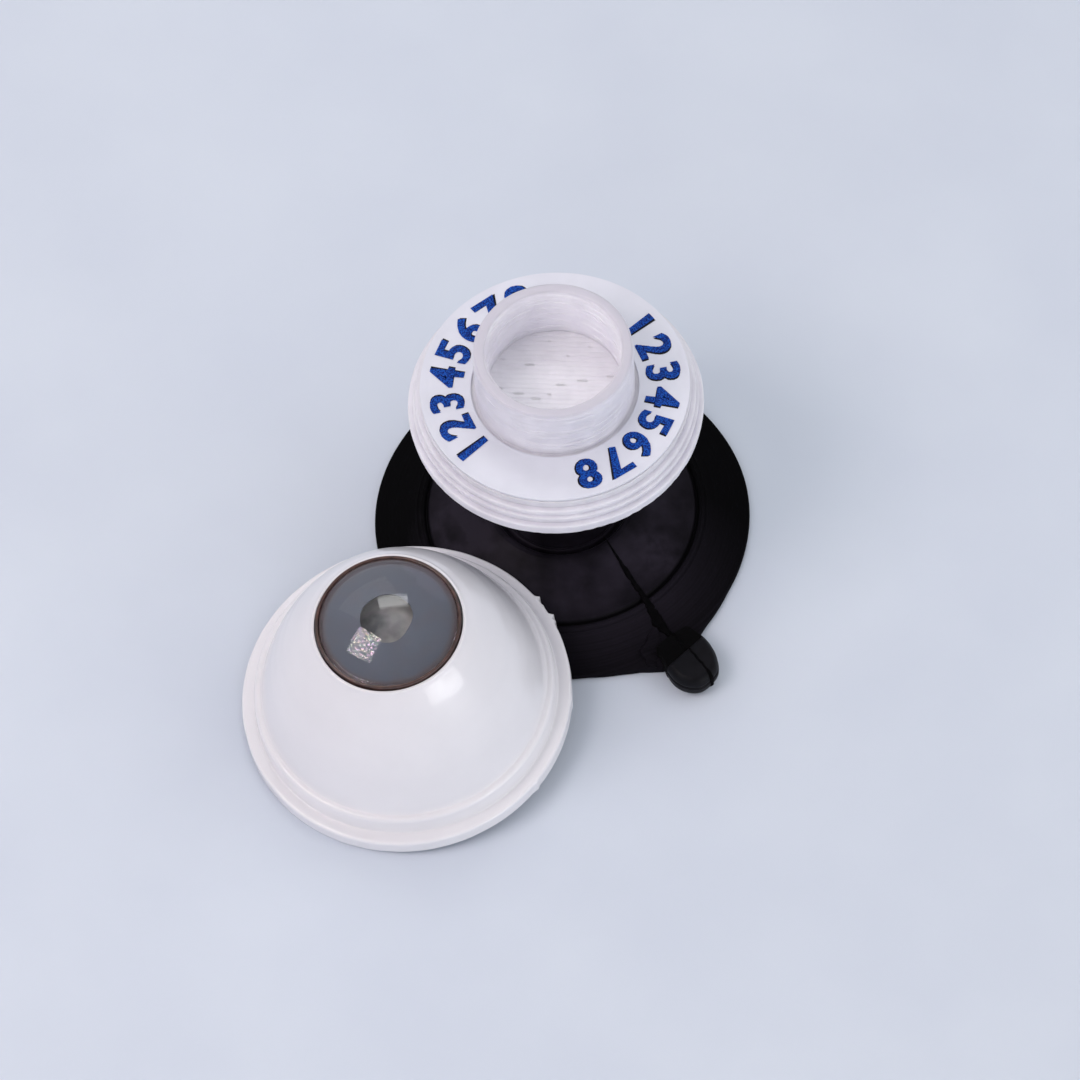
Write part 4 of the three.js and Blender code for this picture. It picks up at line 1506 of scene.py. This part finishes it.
# %% [markdown]
# ## The cornea
#
# The cornea is a dome of clear moulded acrylic, half a millimetre thick. It is two arcs about one
# centre, joined along the foot, so light bends in it as in a real wall. Acrylic's refractive index is
# 1.49, and its surface is almost perfectly smooth, which gives the sharp images of the lamps.

# %% Turn the cornea
clear, tree, shader, where = start_finish(
    "clear moulded acrylic", "#FBFCFD", {"Roughness": 0.02, "IOR": 1.49, "Transmission Weight": 1.0}
)
grain_bump(tree, shader, where, 1.5, 0.001)
CORNEA_BASE = 14.94
CORNEA_OUTER = 5.76
CORNEA_CURVE = 9.0
CORNEA_TOP = 17.42
CORNEA_WALL = 0.5
CORNEA_STEPS = 40
cornea_centre = CORNEA_TOP - CORNEA_CURVE


def cornea_arc(curve, start, end):
    """An arc of this radius about the cornea's centre, from one angle above level to another."""
    angle = np.linspace(start, end, CORNEA_STEPS)
    return np.stack([curve * np.cos(angle), cornea_centre + curve * np.sin(angle)], axis=1)


inner_curve = CORNEA_CURVE - CORNEA_WALL
inner_foot = math.asin((CORNEA_BASE - cornea_centre) / inner_curve)
outer_foot = math.acos(CORNEA_OUTER / CORNEA_CURVE)
inner_line = cornea_arc(inner_curve, math.pi / 2, inner_foot)
outer_line = cornea_arc(CORNEA_CURVE, outer_foot, math.pi / 2)
cornea_line = np.vstack([inner_line, [[CORNEA_OUTER, CORNEA_BASE]], outer_line])
cornea_line[[0, -1], 0] = 0
cornea_grid = turned(cornea_line[:, :1], cornea_line[:, 1:], angles(192))
cornea = skin("clear_cornea_dome", cornea_grid, on_eye, clear)
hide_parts("cornea")
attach(cornea, "eye")

# %% [markdown]
# ## The iris
#
# Under the cornea lies a satin film, blue-grey, and near its edge the ring's brown is painted on as a
# reflection. Its pupil is cut by hand, a little off the middle and not quite round. Straight lines from
# the rim to the pupil's edge fill the film, above and below.

# %% Cut the iris
IRIS_OUTER = 5.76
IRIS_BASE = 14.7
IRIS_TOP = 14.9
PUPIL_RADIUS = 2.2
PUPIL_SHIFT = 0.5
PUPIL_AZIMUTH = math.radians(-128)
PUPIL_FLAT = 100
FACE_ROWS = 30
BACK_ROWS = 8
iris_film, tree, shader, where = start_finish("grey satin film", "#666A74", {"Roughness": 0.5})
# painted reflection: the ring's brown is painted onto the film near its edge
ring_reflection_share = by_distance(tree, where, eye_base + IRIS_TOP * eye_axis, 5.0, 5.8, 0.0, 1.0)
painted_ring_reflection = added(tree, ring_reflection_share, cloud(tree, where, 1.5, 0.35, 0.65, -0.06, 0.1))
tree.links.new(two_colours(tree, painted_ring_reflection, "#687081", "#76544E"), shader.inputs["Base Color"])
grain_bump(tree, shader, where, 0.2, 0.004)
around = angles(192)
flattened = 0.07 * bump(np.degrees(around), PUPIL_FLAT, 28)
pupil = PUPIL_RADIUS * (1 + 0.02 * round_wander(around, 6, 81) - flattened)
pupil_x = PUPIL_SHIFT * math.cos(PUPIL_AZIMUTH) + pupil * np.cos(around)
pupil_y = PUPIL_SHIFT * math.sin(PUPIL_AZIMUTH) + pupil * np.sin(around)
rim_x, rim_y = IRIS_OUTER * np.cos(around), IRIS_OUTER * np.sin(around)
share = np.concatenate([np.linspace(0, 1, FACE_ROWS), np.linspace(1, 0, BACK_ROWS)])[:, None]
level = np.concatenate([np.full(FACE_ROWS, IRIS_TOP), np.full(BACK_ROWS, IRIS_BASE)])[:, None]
iris_x = rim_x + (pupil_x - rim_x) * share
iris_y = rim_y + (pupil_y - rim_y) * share
iris_grid = np.stack([iris_x, iris_y, level + 0 * around], axis=-1)
iris = skin("iris_film", iris_grid, on_eye, iris_film, rows_close=True)
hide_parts("iris")
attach(iris, "eye")

# %% [markdown]
# ## The lens
#
# Behind the pupil shows the lens, a clear silicone that has gone cloudy and a little yellow. Through
# the pupil it looks like a pale grey with one dark spot, the shadow that the iris's edge casts on it, so
# the finish paints that shadow on a pale grey rather than making real glass. Its two faces are shallow
# caps of a sphere.

# %% Turn the lens
# the iris's edge shades the lens here, so this place is painted dark as shadow
PAINTED_SHADOW_SPOT = (0.7, -1.2)
SHADOW_SPOT_HEIGHT = 14.0
lens_amber, tree, shader, where = start_finish(
    "yellowed clear silicone",
    "#8F8A83",
    {"Roughness": 0.3, "Subsurface Weight": 0.2, "Subsurface Scale": 0.0008},
)
shader.inputs["Subsurface Radius"].default_value = (1.0, 0.9, 0.8)
painted_shadow_place = on_eye(np.array([*PAINTED_SHADOW_SPOT, SHADOW_SPOT_HEIGHT]))
# painted shadow: dark round that place, pale further away
lightness = by_distance(tree, where, painted_shadow_place, 0.3, 3.0, 0.0, 1.0)
shade = added(tree, lightness, cloud(tree, where, 1.3, 0.3, 0.7, -0.25, 0.15))
tree.links.new(two_colours(tree, shade, "#48494E", "#C2BFBB"), shader.inputs["Base Color"])
LENS_RADIUS = 4.05
LENS_EDGE = 0.4
LENS_CAP = 1.5
lens_curve = (LENS_RADIUS**2 + LENS_CAP**2) / (2 * LENS_CAP)
lens_r = LENS_RADIUS * np.sin(np.linspace(0, math.pi / 2, 24))
lens_h = np.sqrt(lens_curve**2 - lens_r**2) - (lens_curve - LENS_CAP) + LENS_EDGE / 2
lens_under = np.stack([lens_r, LENS_MIDDLE_HEIGHT - lens_h], axis=1)
lens_over = np.stack([lens_r, LENS_MIDDLE_HEIGHT + lens_h], axis=1)
lens_line = np.vstack([lens_under, lens_over[::-1]])
lens_grid = turned(lens_line[:, :1], lens_line[:, 1:], angles(128))
lens = skin("amber_lens", lens_grid, on_eye, lens_amber)
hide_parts("lens")
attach(lens, "eye")

# %% [markdown]
# ## The lens cup
#
# A white moulded cup holds the lens under the iris. The photograph's side hides it, but from below it
# is what closes the shell's mouth, so it is made as a turned section like the rest.

# %% Turn the lens cup
CUP_OUTER = 4.65
CUP_INNER = 4.3
CUP_FLOOR = 10.15
CUP_FLANGE = 5.5
FLANGE_LOW = 14.25
FLANGE_HIGH = 14.45
cup_white, tree, shader, where = start_finish("white moulded lens cup", "#D8D7DA", {"Roughness": 0.4})
mottle(tree, shader.inputs["Base Color"], where, "#D3D2D6", "#DCDBDF", 1.8)
grain_bump(tree, shader, where, 0.3, 0.004)
cup_section = rounded([
    (0, CUP_FLOOR, 0), (CUP_OUTER, CUP_FLOOR, 0.3), (CUP_OUTER, FLANGE_LOW, 0.05),
    (CUP_FLANGE, FLANGE_LOW, 0.04), (CUP_FLANGE, FLANGE_HIGH, 0.04), (CUP_INNER, FLANGE_HIGH, 0.08),
    (CUP_INNER, 10.55, 0.3), (0, 10.55, 0)])
cup_grid = turned(cup_section[:, :1], cup_section[:, 1:], angles(160))
lens_cup = skin("lens_cup_moulding", cup_grid, on_eye, cup_white)
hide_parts("lens_cup")
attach(lens_cup, "eye")
